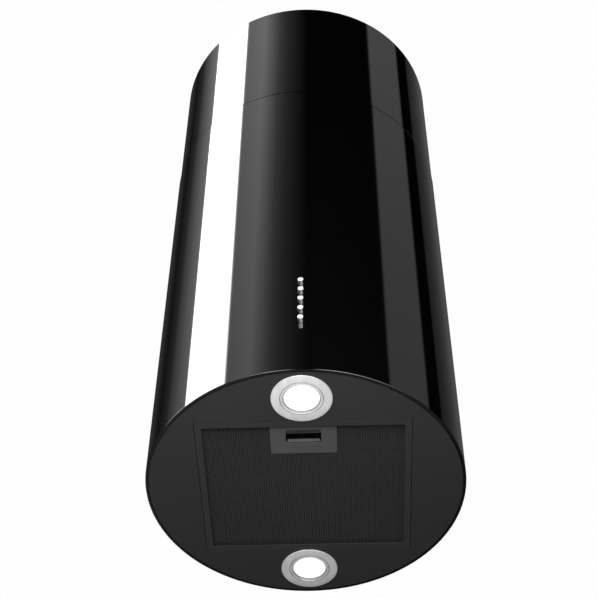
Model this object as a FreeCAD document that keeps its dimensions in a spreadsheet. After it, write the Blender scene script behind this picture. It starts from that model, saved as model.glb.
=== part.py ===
import FreeCAD, Part
import os
import re
import Sketcher
from FreeCAD import Vector

# An island range hood: a round tube that hangs from the ceiling. The origin is the centre of the
# ceiling plate's mounting face, +Z is up, and the control buttons face -Y. Millimetres and degrees.

SIZES = {
    # shells
    "shell_radius": 195,
    "shell_gauge": 0.6,
    "shell_gap": 0.3,
    "lower_length": 600,
    "upper_length": 420,
    "upper_showing": 245,
    "hem_width": 4,
    # ceiling plate
    "ceiling_thickness": 3,
    "ceiling_rim_depth": 22,
    "ceiling_bolt_circle": 150,
    "ceiling_bolt_radius": 4,
    "duct_hole_radius": 80,
    "cable_hole_radius": 9,
    "shell_screw_drop": 12,
    # chassis
    "panel_gauge": 1,
    "panel_rim_height": 15,
    "chassis_gauge": 1,
    "upright_leg": 22,
    "upright_gauge": 1.6,
    "lower_upright_top": 630,
    "upright_clearance": 0.5,
    # grease filter
    "filter_height": 9,
    "filter_side_band": 8,
    "filter_end_band": 9.25,
    "filter_gauge": 0.8,
    "filter_clearance": 0.6,
    "mesh_recess": 4.5,
    "mesh_gauge": 0.6,
    "mesh_gap": 0.2,
    "handle_width": 79,
    "handle_depth": 47.5,
    "handle_gauge": 1,
    "slot_width": 42,
    "slot_depth": 21,
    "slot_setback": 10.7,
    "slot_corner": 3.5,
    "latch_finger": 6.5,
    "latch_overlap": 1.8,
    "latch_gauge": 1,
    "bolt_width": 16,
    "ear_width": 6,
    "ear_height": 3.4,
    "tongue_across": 70,
    "tongue_width": 20,
    "tongue_gauge": 1,
    # lamps
    "lamp_ring_radius": 35,
    "lamp_ring_drop": 1.4,
    "lamp_lens_recess": 2,
    "lamp_height": 34,
    "groove_width": 0.8,
    "lamp_sleeve_top": 14,
    "lamp_board_gauge": 1.6,
    "fin_depth": 4.8,
    "fin_pitch": 6,
    # blower
    "blower_width": 136,
    "blower_wall": 2.5,
    "scroll_shift": 6,
    "outlet_half": 74,
    "impeller_width": 112,
    "blade_count": 24,
    "blade_depth": 14,
    "blade_gauge": 1,
    "shaft_radius": 4,
    "shaft_fit": 0.05,
    "rotor_radius": 20,
    "rotor_length": 40,
    "air_gap": 0.5,
    "motor_half": 33,
    "bearing_length": 7,
    "bracket_gauge": 3,
    "arm_width": 14,
    "bush_radius": 6,
    "bush_gauge": 1,
    "capacitor_radius": 14,
    "capacitor_length": 46,
    # outlet
    "collar_radius": 74.5,
    "collar_gauge": 1.5,
    "collar_height": 50,
    "flap_seat": 14,
    "flap_gauge": 1,
    "pin_radius": 1.5,
    "pin_fit": 0.06,
    "barrel_length": 12,
    "collar_flange": 16,
    # controls
    "switch_height": 118.7,
    "button_pitch": 17.5,
    "button_radius": 3.7,
    "button_proud": 8,
    "button_travel": 4,
    "button_clearance": 0.3,
    "stem_radius": 1.6,
    "switch_width": 30,
    "switch_depth": 30,
    "switch_length": 100,
    "bore_depth": 22,
    # wiring
    "cable_across": 60,
    "cable_radius": 4,
    "driver_width": 72,
    "driver_depth": 26,
    "driver_height": 30,
    "terminal_width": 52,
    "terminal_depth": 42,
    "terminal_height": 60,
    # small fixings
    "screw_radius": 2,
    "screw_head_radius": 3.6,
    "screw_head_height": 2.2,
    "screw_length": 7,
}

# Sizes that follow from the ones above. Each is a formula that may use other names.
DERIVED = {
    "underside": "0 - lower_length - upper_showing",
    "shell_inside": "shell_radius - shell_gauge",
    "upper_outside": "shell_inside - shell_gap",
    "upper_inside": "upper_outside - shell_gauge",
    "hem_inside": "shell_radius - hem_width",
    "panel_bottom": "shell_gauge",
    "panel_top": "panel_bottom + panel_gauge",
    "chassis_width": "shell_radius * 88 / 65",
    "chassis_depth": "filter_depth + 8",
    "chassis_height": "blower_height + scroll_radius + 18",
    "upper_upright_length": "lower_length + upper_showing - chassis_height - 155",
    "filter_width": "chassis_width - 8",
    "filter_depth": "(lamp_offset - lamp_ring_radius - 1.5) * 2",
    "lamp_offset": "hem_inside - lamp_ring_radius - 6.5",
    "lamp_hole_radius": "lamp_ring_radius - 4.4",
    "lamp_sleeve_radius": "lamp_ring_radius - 5",
    "lamp_lens_radius": "lamp_ring_radius - 13.5",
    "groove_radius": "lamp_ring_radius - 9.8",
    "blower_height": "scroll_radius + scroll_shift + 58",
    "scroll_radius": "half_depth - 13",
    "impeller_radius": "scroll_radius * 37 / 52",
    "inlet_radius": "impeller_radius - 12",
    "stator_radius": "impeller_radius * 20 / 37",
    "half_width": "chassis_width / 2",
    "half_depth": "chassis_depth / 2",
    "filter_bottom": "panel_bottom",
    "half_filter_width": "filter_width / 2",
    "half_filter_depth": "filter_depth / 2",
    "mesh_bottom": "filter_bottom + mesh_recess",
    "mesh_half_width": "half_filter_width - 2 * filter_gauge",
    "mesh_half_depth": "half_filter_depth - 2 * filter_gauge",
    "mesh_front": "half_filter_depth - filter_end_band",
    "handle_bottom": "mesh_bottom - handle_gauge",
    "handle_front": "0 - mesh_front - 1.5",
    "slot_front": "handle_front + slot_setback",
    "slot_back": "slot_front + slot_depth",
    "pocket_half": "spring_across + 4",
    "pocket_back": "slot_back + 4",
    "chamber_top": "filter_bottom + filter_height - filter_gauge",
    "half_blower": "blower_width / 2",
    "collar_base": "chassis_height",
    "ring_bottom": "panel_bottom - lamp_ring_drop",
    "lens_bottom": "ring_bottom + lamp_lens_recess",
    "switch_face": "shell_inside - 1.6",
    "stem_bore": "button_radius + 0.2",
    "lamp_inner_radius": "lamp_sleeve_radius - 1.2",
    "bracket_face": "0 - half_blower - bush_gauge - bracket_gauge",
    "cable_back": "half_depth + 24",
    "foot_across": "half_width - upright_clearance - upright_gauge - upright_leg / 2",
    "foot_back": "half_depth - upright_clearance - upright_gauge - upright_leg / 2",
    "collar_screw": "(collar_radius + 9) * 0.7071",
    "neck_top": "chassis_height - chassis_gauge - blower_height",
    "bearing_radius": "shaft_radius + 5",
    "pin_level": "flap_seat + 3.2",
    "channel_half_width": "half_filter_width - filter_gauge",
    "channel_half_depth": "half_filter_depth - filter_gauge",
    "bolt_level": "panel_top + 0.2",
    "spring_across": "slot_width / 2 + 7",
    "spring_front": "slot_front + latch_finger",
    "spring_back": "spring_front + 10.5",
    "spring_level": "mesh_bottom + 1.9",
    "latch_level": "mesh_bottom + 0.2",
    "leg_front": "0 - channel_half_depth + 0.2",
    "lamp_board_level": "lens_bottom + 6",
    "button_face": "shell_radius + button_proud",
    "button_root": "switch_face - 6",
    "gland_level": "chassis_height - 36",
}
NAME = re.compile(r"[a-z_][a-z_0-9]*")

doc = FreeCAD.newDocument("island_range_hood")
sheet = doc.addObject("Spreadsheet::Sheet", "Sizes")
for row, (alias, value) in enumerate(SIZES.items(), start=1):
    sheet.set(f"A{row}", alias)
    sheet.set(f"B{row}", str(value))
    sheet.setAlias(f"B{row}", alias)
doc.recompute()

sub_parts = []


def bind(formula):
    """Turn a formula of size names into an expression on the sheet."""
    def swap(match):
        word = match.group(0)
        if word in DERIVED:
            return "(" + bind(DERIVED[word]) + ")"
        return "Sizes." + word if word in SIZES else word
    return NAME.sub(swap, str(formula))


def value_of(formula):
    """The number that a formula of size names gives now."""
    return float(sheet.evalExpression(bind(formula)))


def drive(target, **formulas):
    """Bind properties of an object to formulas; a dot in a path is written as two underscores."""
    for path, formula in formulas.items():
        target.setExpression(path.replace("__", "."), bind(formula))


def keep(label, part, at=(0, 0, 0)):
    """Name a sub-part, place it by three formulas and list it for export."""
    part.Label = label
    for axis, formula in zip("xyz", at):
        part.setExpression(f"Placement.Base.{axis}", bind(formula))
    sub_parts.append(part)
    return part


def body(label, at=(0, 0, 0)):
    """An empty PartDesign body that becomes one sub-part."""
    return keep(label, doc.addObject("PartDesign::Body", label + "_body"), at)


def sketch(owner, plane, lift="0"):
    """A sketch on one of a body's own origin planes, lifted along the plane's normal."""
    made = owner.newObject("Sketcher::SketchObject", owner.Label + "_sketch")
    planes = {feature.Role: feature for feature in owner.Origin.OriginFeatures}
    made.AttachmentSupport = [(planes[plane + "_Plane"], "")]
    made.MapMode = "FlatFace"
    made.setExpression("AttachmentOffset.Base.z", bind(lift))
    return made


def fix(drawing, kind, formula, *geometry):
    """Add one dimension to a sketch and bind it to a formula."""
    index = drawing.addConstraint(Sketcher.Constraint(kind, *geometry, value_of(formula)))
    drawing.setExpression(f"Constraints[{index}]", bind(formula))


def outline(drawing, corners):
    """Draw a closed polygon whose corners are pairs of formulas."""
    spots = [Vector(value_of(across), value_of(up), 0) for across, up in corners]
    first = drawing.GeometryCount
    count = len(corners)
    for index in range(count):
        line = Part.LineSegment(spots[index], spots[(index + 1) % count])
        drawing.addGeometry(line, False)
    for index, (across, up) in enumerate(corners):
        after = first + (index + 1) % count
        drawing.addConstraint(Sketcher.Constraint("Coincident", first + index, 2, after, 1))
        fix(drawing, "DistanceX", across, -1, 1, first + index, 1)
        fix(drawing, "DistanceY", up, -1, 1, first + index, 1)


def block(drawing, left, low, right, high):
    """Draw a rectangle from four formulas."""
    outline(drawing, [(left, low), (right, low), (right, high), (left, high)])


def ring(drawing, radius, across="0", up="0"):
    """Draw a circle from formulas for its radius and centre."""
    centre = Vector(value_of(across), value_of(up), 0)
    circle = Part.Circle(centre, Vector(0, 0, 1), value_of(radius))
    index = drawing.addGeometry(circle, False)
    fix(drawing, "Radius", radius, index)
    fix(drawing, "DistanceX", across, -1, 1, index, 3)
    fix(drawing, "DistanceY", up, -1, 1, index, 3)


def pad(owner, drawing, length, midplane=False, backwards=False):
    """Extrude a sketch into the body."""
    made = owner.newObject("PartDesign::Pad", owner.Label + "_pad")
    made.Profile = drawing
    made.Midplane = midplane
    made.Reversed = backwards
    drive(made, Length=length)
    return made


def pocket(owner, drawing, length=None, midplane=False, backwards=False):
    """Cut a sketch out of the body, through everything when no length is given."""
    doc.recompute()
    before = owner.Shape.Volume
    made = owner.newObject("PartDesign::Pocket", owner.Label + "_pocket")
    made.Profile = drawing
    made.Midplane = midplane
    made.Reversed = backwards
    if length is None:
        made.Type = "ThroughAll"
    else:
        drive(made, Length=length)
    doc.recompute()
    if owner.Shape.Volume >= before:
        raise RuntimeError(f"{owner.Label}: a pocket cut nothing")
    return made


def revolve(owner, drawing, axis="V_Axis", cut=False):
    """Turn a sketch full circle about one of its own axes."""
    kind = "Groove" if cut else "Revolution"
    made = owner.newObject("PartDesign::" + kind, owner.Label + "_turn")
    made.Profile = drawing
    made.ReferenceAxis = (drawing, [axis])
    made.Angle = 360
    return made


def turned(label, corners, at=(0, 0, 0), plane="XZ", axis="V_Axis"):
    """A whole sub-part turned from one profile."""
    owner = body(label, at)
    drawing = sketch(owner, plane)
    outline(drawing, corners)
    revolve(owner, drawing, axis)
    return owner


def slab(label, rectangle, thickness, lift="0", at=(0, 0, 0), plane="XY"):
    """A whole sub-part that starts as one padded rectangle."""
    owner = body(label, at)
    drawing = sketch(owner, plane, lift)
    block(drawing, *rectangle)
    pad(owner, drawing, thickness)
    return owner


def group(label, members, at=(0, 0, 0)):
    """Several separate solids kept as one sub-part."""
    made = doc.addObject("Part::Compound", label + "_group")
    made.Links = members
    return keep(label, made, at)


def screw(name, at, towards):
    """A pan-head screw whose head rests on a face at a point and whose shank runs along a direction."""
    shank = doc.addObject("Part::Cylinder", name + "_shank")
    head = doc.addObject("Part::Cylinder", name + "_head")
    drive(shank, Radius="screw_radius", Height="screw_length + screw_head_height")
    drive(head, Radius="screw_head_radius", Height="screw_head_height")
    fused = doc.addObject("Part::Fuse", name)
    fused.Base = shank
    fused.Tool = head
    turn = FreeCAD.Rotation(Vector(0, 0, 1), Vector(*towards))
    fused.Placement = FreeCAD.Placement(Vector(0, 0, 0), turn)
    for axis, formula, direction in zip("xyz", at, towards):
        back = f"({formula}) - screw_head_height * {direction}"
        fused.setExpression(f"Placement.Base.{axis}", bind(back))
    return fused


def spring(name, wire, radius, pitch, length, at, turn):
    """A helical compression spring along its own +Z."""
    helix = doc.addObject("Part::Helix", name + "_helix")
    drive(helix, Radius=radius, Pitch=pitch, Height=length)
    section = doc.addObject("Part::Circle", name + "_section")
    drive(section, Radius=wire)
    section.Placement = FreeCAD.Placement(Vector(value_of(radius), 0, 0),
                                          FreeCAD.Rotation(Vector(1, 0, 0), 90))
    drive(section, Placement__Base__x=radius)
    made = doc.addObject("Part::Sweep", name)
    made.Sections = [section]
    made.Spine = (helix, [])
    made.Solid = True
    made.Frenet = True
    made.Placement = FreeCAD.Placement(Vector(0, 0, 0), turn)
    for axis, formula in zip("xyz", at):
        made.setExpression(f"Placement.Base.{axis}", bind(formula))
    return made


HOOD = ("0", "0", "underside")
BLOWER = ("0", "0", "underside + blower_height")
CORNERS = {"front_left": (-1, -1), "front_right": (1, -1), "rear_left": (-1, 1), "rear_right": (1, 1)}
SIDES = {"left": -1, "right": 1}
ENDS = {"front": -1, "rear": 1}
DIAGONAL = 45
SLANT = 0.5 ** 0.5


# ---- ceiling mount -----------------------------------------------------------------------------

def shell_screw_holes(owner):
    """Two radial holes near the ceiling, on the rear diagonals."""
    for turn in (-DIAGONAL, DIAGONAL):
        hole = sketch(owner, "XZ")
        hole.AttachmentOffset = FreeCAD.Placement(Vector(0, 0, 0), FreeCAD.Rotation(Vector(0, 1, 0), turn))
        ring(hole, "screw_radius", "0", "0 - shell_screw_drop")
        pocket(owner, hole, "shell_radius")


def ceiling_plate():
    """Steel pan screwed to the ceiling, with the duct hole, a cable hole and four bolt holes."""
    rim = "upper_inside - 0.1"
    owner = turned("ceiling_plate", [
        ("duct_hole_radius", "0"), (rim, "0"), (rim, "0 - ceiling_rim_depth"),
        ("upper_inside - 1.6", "0 - ceiling_rim_depth"), ("upper_inside - 1.6", "0 - ceiling_thickness"),
        ("duct_hole_radius", "0 - ceiling_thickness")])
    bolts = sketch(owner, "XY")
    for across, up in ((1, 0), (0, 1), (-1, 0), (0, -1)):
        ring(bolts, "ceiling_bolt_radius", f"ceiling_bolt_circle * {across}", f"ceiling_bolt_circle * {up}")
    ring(bolts, "cable_hole_radius", "cable_across", "cable_back")
    pocket(owner, bolts, "ceiling_thickness * 2", midplane=True)
    shell_screw_holes(owner)
    feet = sketch(owner, "XY")
    for across, up in CORNERS.values():
        ring(feet, "screw_radius", f"foot_across * {across}", f"foot_back * {up}")
    pocket(owner, feet, "ceiling_thickness * 2", midplane=True)


def upper_shell():
    """Thin polished tube below the ceiling, which slides inside the lower shell."""
    owner = body("upper_shell")
    drawing = sketch(owner, "XY")
    ring(drawing, "upper_outside")
    ring(drawing, "upper_inside")
    pad(owner, drawing, "upper_length", backwards=True)
    shell_screw_holes(owner)


def upright(label, across, up, inset, low, high, at, foot):
    """Angle-section post with its two legs along the walls of a chassis corner."""
    owner = body(label, at)
    drawing = sketch(owner, "XY", low)
    far_x = f"(half_width - ({inset})) * {across}"
    far_y = f"(half_depth - ({inset})) * {up}"
    in_x = f"(half_width - ({inset}) - upright_gauge) * {across}"
    in_y = f"(half_depth - ({inset}) - upright_gauge) * {up}"
    end_x = f"(half_width - ({inset}) - upright_leg) * {across}"
    end_y = f"(half_depth - ({inset}) - upright_leg) * {up}"
    outline(drawing, [(far_x, far_y), (end_x, far_y), (end_x, in_y),
                      (in_x, in_y), (in_x, end_y), (far_x, end_y)])
    pad(owner, drawing, f"({high}) - ({low})")
    if foot:
        tab = sketch(owner, "XY", f"({high}) - upright_gauge")
        outline(tab, [(far_x, far_y), (end_x, far_y), (end_x, end_y), (far_x, end_y)])
        pad(owner, tab, "upright_gauge")
        hole = sketch(owner, "XY", high)
        ring(hole, "screw_radius", f"foot_across * {across}", f"foot_back * {up}")
        pocket(owner, hole, "upright_gauge * 2", midplane=True)


def ceiling_screws():
    """Two screws hold the upper shell to the plate's rim and four hold the post feet."""
    made = []
    lean = f"upper_outside * cos({DIAGONAL})"
    for side in SIDES.values():
        place = (f"{lean} * {side}", lean, "0 - shell_screw_drop")
        made.append(screw(f"shell_fixing_{len(made)}", place, (-side * SLANT, -SLANT, 0)))
    for across, up in CORNERS.values():
        place = (f"foot_across * {across}", f"foot_back * {up}", "0 - ceiling_thickness - upright_gauge")
        made.append(screw(f"foot_fixing_{len(made)}", place, (0, 0, 1)))
    group("ceiling_screws", made)


# ---- hood casing -------------------------------------------------------------------------------

def lower_shell():
    """Thin polished tube that hangs around the works, hemmed inwards at its lower edge."""
    owner = turned("lower_shell", [
        ("hem_inside", "0"), ("shell_radius", "0"), ("shell_radius", "lower_length"),
        ("shell_inside", "lower_length"), ("shell_inside", "shell_gauge"), ("hem_inside", "shell_gauge")],
        HOOD)
    holes = sketch(owner, "XZ")
    for index in range(-2, 3):
        ring(holes, "button_radius + button_clearance", "0", f"switch_height + button_pitch * {index}")
    pocket(owner, holes, "shell_radius + 5", backwards=True)


def base_panel():
    """Dark underside disc with the filter opening and two lamp holes, and a rim up inside the shell."""
    owner = body("base_panel", HOOD)
    drawing = sketch(owner, "XZ")
    outline(drawing, [("0", "panel_bottom"), ("shell_inside - 0.1", "panel_bottom"),
                      ("shell_inside - 0.1", "panel_rim_height"),
                      ("shell_inside - 0.1 - panel_gauge", "panel_rim_height"),
                      ("shell_inside - 0.1 - panel_gauge", "panel_top"), ("0", "panel_top")])
    revolve(owner, drawing)
    holes = sketch(owner, "XY", "panel_bottom")
    wide = "half_filter_width + filter_clearance"
    deep = "half_filter_depth + filter_clearance"
    block(holes, f"0 - ({wide})", f"0 - ({deep})", wide, deep)
    for side in ENDS.values():
        ring(holes, "lamp_hole_radius", "0", f"lamp_offset * {side}")
    pocket(owner, holes, "panel_gauge * 4", midplane=True)


def chassis_wrap():
    """Sheet folded over the works as front, top and rear, open below and at both sides."""
    owner = slab("chassis_wrap",
                 ("0 - half_depth", "panel_top", "half_depth", "chassis_height"),
                 "half_width - chassis_gauge", at=HOOD, plane="YZ")
    owner.Tip.Midplane = True
    drive(owner.Tip, Length="(half_width - chassis_gauge) * 2")
    inner = sketch(owner, "YZ")
    block(inner, "0 - half_depth + chassis_gauge", "panel_top - 1", "half_depth - chassis_gauge",
          "chassis_height - chassis_gauge")
    pocket(owner, inner, "chassis_width", midplane=True)
    outlet = sketch(owner, "XY", "chassis_height")
    ring(outlet, "outlet_half")
    pocket(owner, outlet, "chassis_gauge * 4", midplane=True)


def chassis_side(name, side):
    """Flat side sheet of the works casing."""
    owner = body("chassis_side_" + name, HOOD)
    drawing = sketch(owner, "YZ", f"(half_width - chassis_gauge / 2) * {side}")
    block(drawing, "0 - half_depth", "panel_top", "half_depth", "chassis_height")
    pad(owner, drawing, "chassis_gauge", midplane=True)


def hood_screws():
    """Screws through the posts into the works casing and through the outlet collar's flange."""
    made = []
    for across, up in CORNERS.values():
        for level in ("chassis_height / 4", "chassis_height * 3 / 4"):
            place = (f"(half_width + upright_gauge) * {across}",
                     f"(half_depth - upright_leg / 2) * {up}", level)
            made.append(screw(f"post_fixing_{len(made)}", place, (-across, 0, 0)))
    for across, up in CORNERS.values():
        place = (f"collar_screw * {across}", f"collar_screw * {up}", "chassis_height + collar_gauge")
        made.append(screw(f"collar_fixing_{len(made)}", place, (0, 0, -1)))
    group("hood_screws", made, HOOD)


# ---- blower ------------------------------------------------------------------------------------

def scroll_outline(drawing, grow):
    """Side view of the blower: a round belly about a shifted centre and a straight neck up."""
    belly = f"scroll_radius - blower_wall + {grow}"
    neck = f"outlet_half - blower_wall + {grow}"
    shift = value_of("scroll_shift")
    radius = value_of(belly)
    half = value_of(neck)
    top = value_of("neck_top")
    rise = ((radius ** 2) - (half ** 2)) ** 0.5
    low = Vector(0, -shift - radius, 0)
    left = Vector(-half, rise - shift, 0)
    right = Vector(half, rise - shift, 0)
    drawing.addGeometry(Part.Arc(left, low, right), False)
    drawing.addGeometry(Part.LineSegment(right, Vector(half, top, 0)), False)
    drawing.addGeometry(Part.LineSegment(Vector(half, top, 0), Vector(-half, top, 0)), False)
    drawing.addGeometry(Part.LineSegment(Vector(-half, top, 0), left), False)
    arc_from, arc_to = (1, 2) if drawing.Geometry[0].StartPoint.x < 0 else (2, 1)
    drawing.addConstraint(Sketcher.Constraint("Coincident", 0, arc_to, 1, 1))
    drawing.addConstraint(Sketcher.Constraint("Coincident", 1, 2, 2, 1))
    drawing.addConstraint(Sketcher.Constraint("Coincident", 2, 2, 3, 1))
    drawing.addConstraint(Sketcher.Constraint("Coincident", 3, 2, 0, arc_from))
    fix(drawing, "Radius", belly, 0)
    fix(drawing, "DistanceX", "0", -1, 1, 0, 3)
    fix(drawing, "DistanceY", "0 - scroll_shift", -1, 1, 0, 3)
    fix(drawing, "DistanceX", neck, -1, 1, 1, 2)
    fix(drawing, "DistanceX", f"0 - ({neck})", -1, 1, 3, 1)
    drawing.addConstraint(Sketcher.Constraint("Vertical", 1))
    drawing.addConstraint(Sketcher.Constraint("Vertical", 3))
    drawing.addConstraint(Sketcher.Constraint("Horizontal", 2))
    fix(drawing, "DistanceY", "neck_top", -1, 1, 1, 2)


def blower_half(name, side):
    """One half of the blower housing, split on the middle plane, with a round air inlet."""
    owner = body("blower_housing_" + name, BLOWER)
    outer = sketch(owner, "YZ")
    scroll_outline(outer, "blower_wall")
    pad(owner, outer, "half_blower", backwards=side < 0)
    inner = sketch(owner, "YZ")
    scroll_outline(inner, "0")
    pocket(owner, inner, "half_blower - blower_wall", backwards=side > 0)
    inlet = sketch(owner, "YZ", f"half_blower * {side}")
    ring(inlet, "inlet_radius")
    pocket(owner, inlet, "blower_wall * 4", midplane=True)


def impeller():
    """Two-sided fan wheel: a middle disc on a hub, curved-forward blades and an end hoop each side."""
    owner = body("impeller", BLOWER)
    hub = sketch(owner, "XY")
    inner = "impeller_radius - blade_depth"
    outline(hub, [("motor_half + 3", "shaft_radius"), ("motor_half + 18", "shaft_radius"),
                  ("motor_half + 18", "shaft_radius + 7"), ("motor_half + 5", "shaft_radius + 7"),
                  ("motor_half + 5", "impeller_radius"), ("motor_half + 3", "impeller_radius")])
    revolve(owner, hub, "H_Axis")
    blade = sketch(owner, "YZ")
    outline(blade, [(inner, "0"), ("impeller_radius - 0.5", "blade_depth / 2"),
                    ("impeller_radius - 0.5", "blade_depth / 2 + blade_gauge * 1.4"),
                    (inner, "blade_gauge")])
    vane = pad(owner, blade, "impeller_width", midplane=True)
    doc.recompute()
    fan = owner.newObject("PartDesign::PolarPattern", "impeller_blades")
    fan.Originals = [vane]
    fan.Axis = (blade, ["N_Axis"])
    fan.Angle = 360
    drive(fan, Occurrences="blade_count")
    owner.Tip = fan
    doc.recompute()
    hoops = sketch(owner, "XY")
    for side in (-1, 1):
        block(hoops, f"(impeller_width / 2 - 4) * {side}", "impeller_radius - 2",
              f"(impeller_width / 2) * {side}", "impeller_radius")
    revolve(owner, hoops, "H_Axis")


def motor():
    """Fixed motor parts in the wheel's left-hand cavity, and the turning shaft and rotor."""
    turned("motor_stator", [
        ("0 - rotor_length / 2", "rotor_radius + air_gap"), ("rotor_length / 2", "rotor_radius + air_gap"),
        ("rotor_length / 2", "stator_radius"), ("0 - rotor_length / 2", "stator_radius")],
        BLOWER, "XY", "H_Axis")
    for name, side in SIDES.items():
        turned("motor_end_shield_" + name, [
            (f"motor_half * {side}", "bearing_radius"),
            (f"motor_half * {side}", "bearing_radius + 4"),
            (f"(motor_half - 5) * {side}", "bearing_radius + 4"),
            (f"(motor_half - 9) * {side}", "stator_radius"),
            (f"rotor_length / 2 * {side}", "stator_radius"),
            (f"rotor_length / 2 * {side}", "stator_radius - 3"),
            (f"(motor_half - 11) * {side}", "stator_radius - 3"),
            (f"(motor_half - 7) * {side}", "bearing_radius")],
            BLOWER, "XY", "H_Axis")
    bearings = []
    for name, side in SIDES.items():
        outer = doc.addObject("Part::Cylinder", "bearing_outer_" + name)
        bore = doc.addObject("Part::Cylinder", "bearing_bore_" + name)
        drive(outer, Radius="bearing_radius", Height="bearing_length")
        drive(bore, Radius="shaft_radius + shaft_fit", Height="bearing_length")
        ring_part = doc.addObject("Part::Cut", "bearing_" + name)
        ring_part.Base = outer
        ring_part.Tool = bore
        ring_part.Placement = FreeCAD.Placement(Vector(0, 0, 0), FreeCAD.Rotation(Vector(0, 1, 0), 90))
        start = "motor_half - bearing_length" if side > 0 else "0 - motor_half"
        ring_part.setExpression("Placement.Base.x", bind(start))
        bearings.append(ring_part)
    group("motor_bearings", bearings, BLOWER)
    turned("motor_shaft", [
        ("0 - motor_half - 4", "0"), ("motor_half + 20", "0"), ("motor_half + 20", "shaft_radius"),
        ("0 - motor_half - 4", "shaft_radius")], BLOWER, "XY", "H_Axis")
    turned("motor_rotor", [
        ("0 - rotor_length / 2", "shaft_radius"), ("rotor_length / 2", "shaft_radius"),
        ("rotor_length / 2", "rotor_radius"), ("0 - rotor_length / 2", "rotor_radius")],
        BLOWER, "XY", "H_Axis")


def motor_bracket():
    """Three-armed plate across the left inlet that carries the motor by a round boss."""
    owner = body("motor_bracket", BLOWER)
    plate = sketch(owner, "YZ", "bracket_face")
    ring(plate, "stator_radius")
    pad(owner, plate, "bracket_gauge")
    boss = sketch(owner, "YZ", "0 - half_blower - bush_gauge")
    ring(boss, "stator_radius")
    ring(boss, "bearing_radius + 2")
    pad(owner, boss, "half_blower + bush_gauge - motor_half")
    arm = sketch(owner, "YZ", "bracket_face")
    block(arm, "stator_radius - 4", "0 - arm_width / 2", "inlet_radius + 16", "arm_width / 2")
    limb = pad(owner, arm, "bracket_gauge")
    doc.recompute()
    arms = owner.newObject("PartDesign::PolarPattern", "bracket_arms")
    arms.Originals = [limb]
    arms.Axis = (arm, ["N_Axis"])
    arms.Angle = 360
    arms.Occurrences = 3
    owner.Tip = arms
    doc.recompute()
    relief = sketch(owner, "YZ", "bracket_face")
    ring(relief, "bearing_radius + 2")
    pocket(owner, relief, "half_blower * 2", midplane=True)


def motor_bushes():
    """Three rubber bushes between the bracket's arms and the blower housing."""
    bushes = []
    for index in range(3):
        made = doc.addObject("Part::Cylinder", f"bush_{index}")
        drive(made, Radius="bush_radius", Height="bush_gauge")
        angle = index * 120
        made.Placement = FreeCAD.Placement(Vector(0, 0, 0), FreeCAD.Rotation(Vector(0, 1, 0), 90))
        made.setExpression("Placement.Base.x", bind("0 - half_blower - bush_gauge"))
        made.setExpression("Placement.Base.y", bind(f"(inlet_radius + 8) * cos({angle})"))
        made.setExpression("Placement.Base.z", bind(f"(inlet_radius + 8) * sin({angle})"))
        bushes.append(made)
    group("motor_bushes", bushes, BLOWER)


def run_capacitor():
    """Round motor capacitor clipped to the right-hand side of the blower."""
    owner = body("run_capacitor", BLOWER)
    drawing = sketch(owner, "YZ", "half_blower")
    ring(drawing, "capacitor_radius", "0", "0 - inlet_radius - capacitor_radius - 4")
    pad(owner, drawing, "capacitor_length")


# ---- outlet ------------------------------------------------------------------------------------

def outlet_collar():
    """Round spigot for the duct, with a flange below and a seat ring under the flaps."""
    bore = "collar_radius - collar_gauge"
    owner = turned("outlet_collar", [
        (bore, "0"), ("collar_radius + collar_flange", "0"),
        ("collar_radius + collar_flange", "collar_gauge"),
        ("collar_radius", "collar_gauge"), ("collar_radius", "collar_height"), (bore, "collar_height"),
        (bore, "flap_seat"), (f"{bore} - 2.5", "flap_seat"), (f"{bore} - 2.5", "flap_seat - 1.5"),
        (bore, "flap_seat - 1.5")], ("0", "0", "underside + collar_base"))
    hole = sketch(owner, "YZ")
    ring(hole, "pin_radius", "0", "pin_level")
    pocket(owner, hole, "collar_radius * 3", midplane=True)


def damper_pin():
    """Straight wire across the collar on which both flaps swing."""
    owner = body("damper_pin", ("0", "0", "underside + collar_base"))
    drawing = sketch(owner, "YZ")
    ring(drawing, "pin_radius", "0", "pin_level")
    pad(owner, drawing, "collar_radius * 2 - 0.4", midplane=True)


def damper_flap(name, side, starts):
    """Half-round non-return flap with two hinge barrels, which leave room for the other flap's."""
    owner = body("damper_flap_" + name, ("0", "0", "underside + collar_base"))
    level = "flap_seat + 0.3"
    reach = "collar_radius - collar_gauge - 1"
    edge = f"(pin_radius + 1.9) * {side}"
    plate = sketch(owner, "XY", level)
    ring(plate, reach)
    pad(owner, plate, "flap_gauge")
    spare = sketch(owner, "XY", level)
    block(spare, "0 - collar_radius", edge, "collar_radius", f"0 - collar_radius * {side}")
    pocket(owner, spare, "flap_gauge * 4", midplane=True)
    for start in starts:
        web = sketch(owner, "YZ", start)
        block(web, "0", level, f"(pin_radius + 6) * {side}", f"{level} + flap_gauge")
        pad(owner, web, "barrel_length")
        barrel = sketch(owner, "YZ", start)
        ring(barrel, "pin_radius + 1.6", "0", "pin_level")
        pad(owner, barrel, "barrel_length")
    bore = sketch(owner, "YZ")
    ring(bore, "pin_radius + pin_fit", "0", "pin_level")
    pocket(owner, bore, "collar_radius * 3", midplane=True)


# ---- grease filter -----------------------------------------------------------------------------

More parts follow.
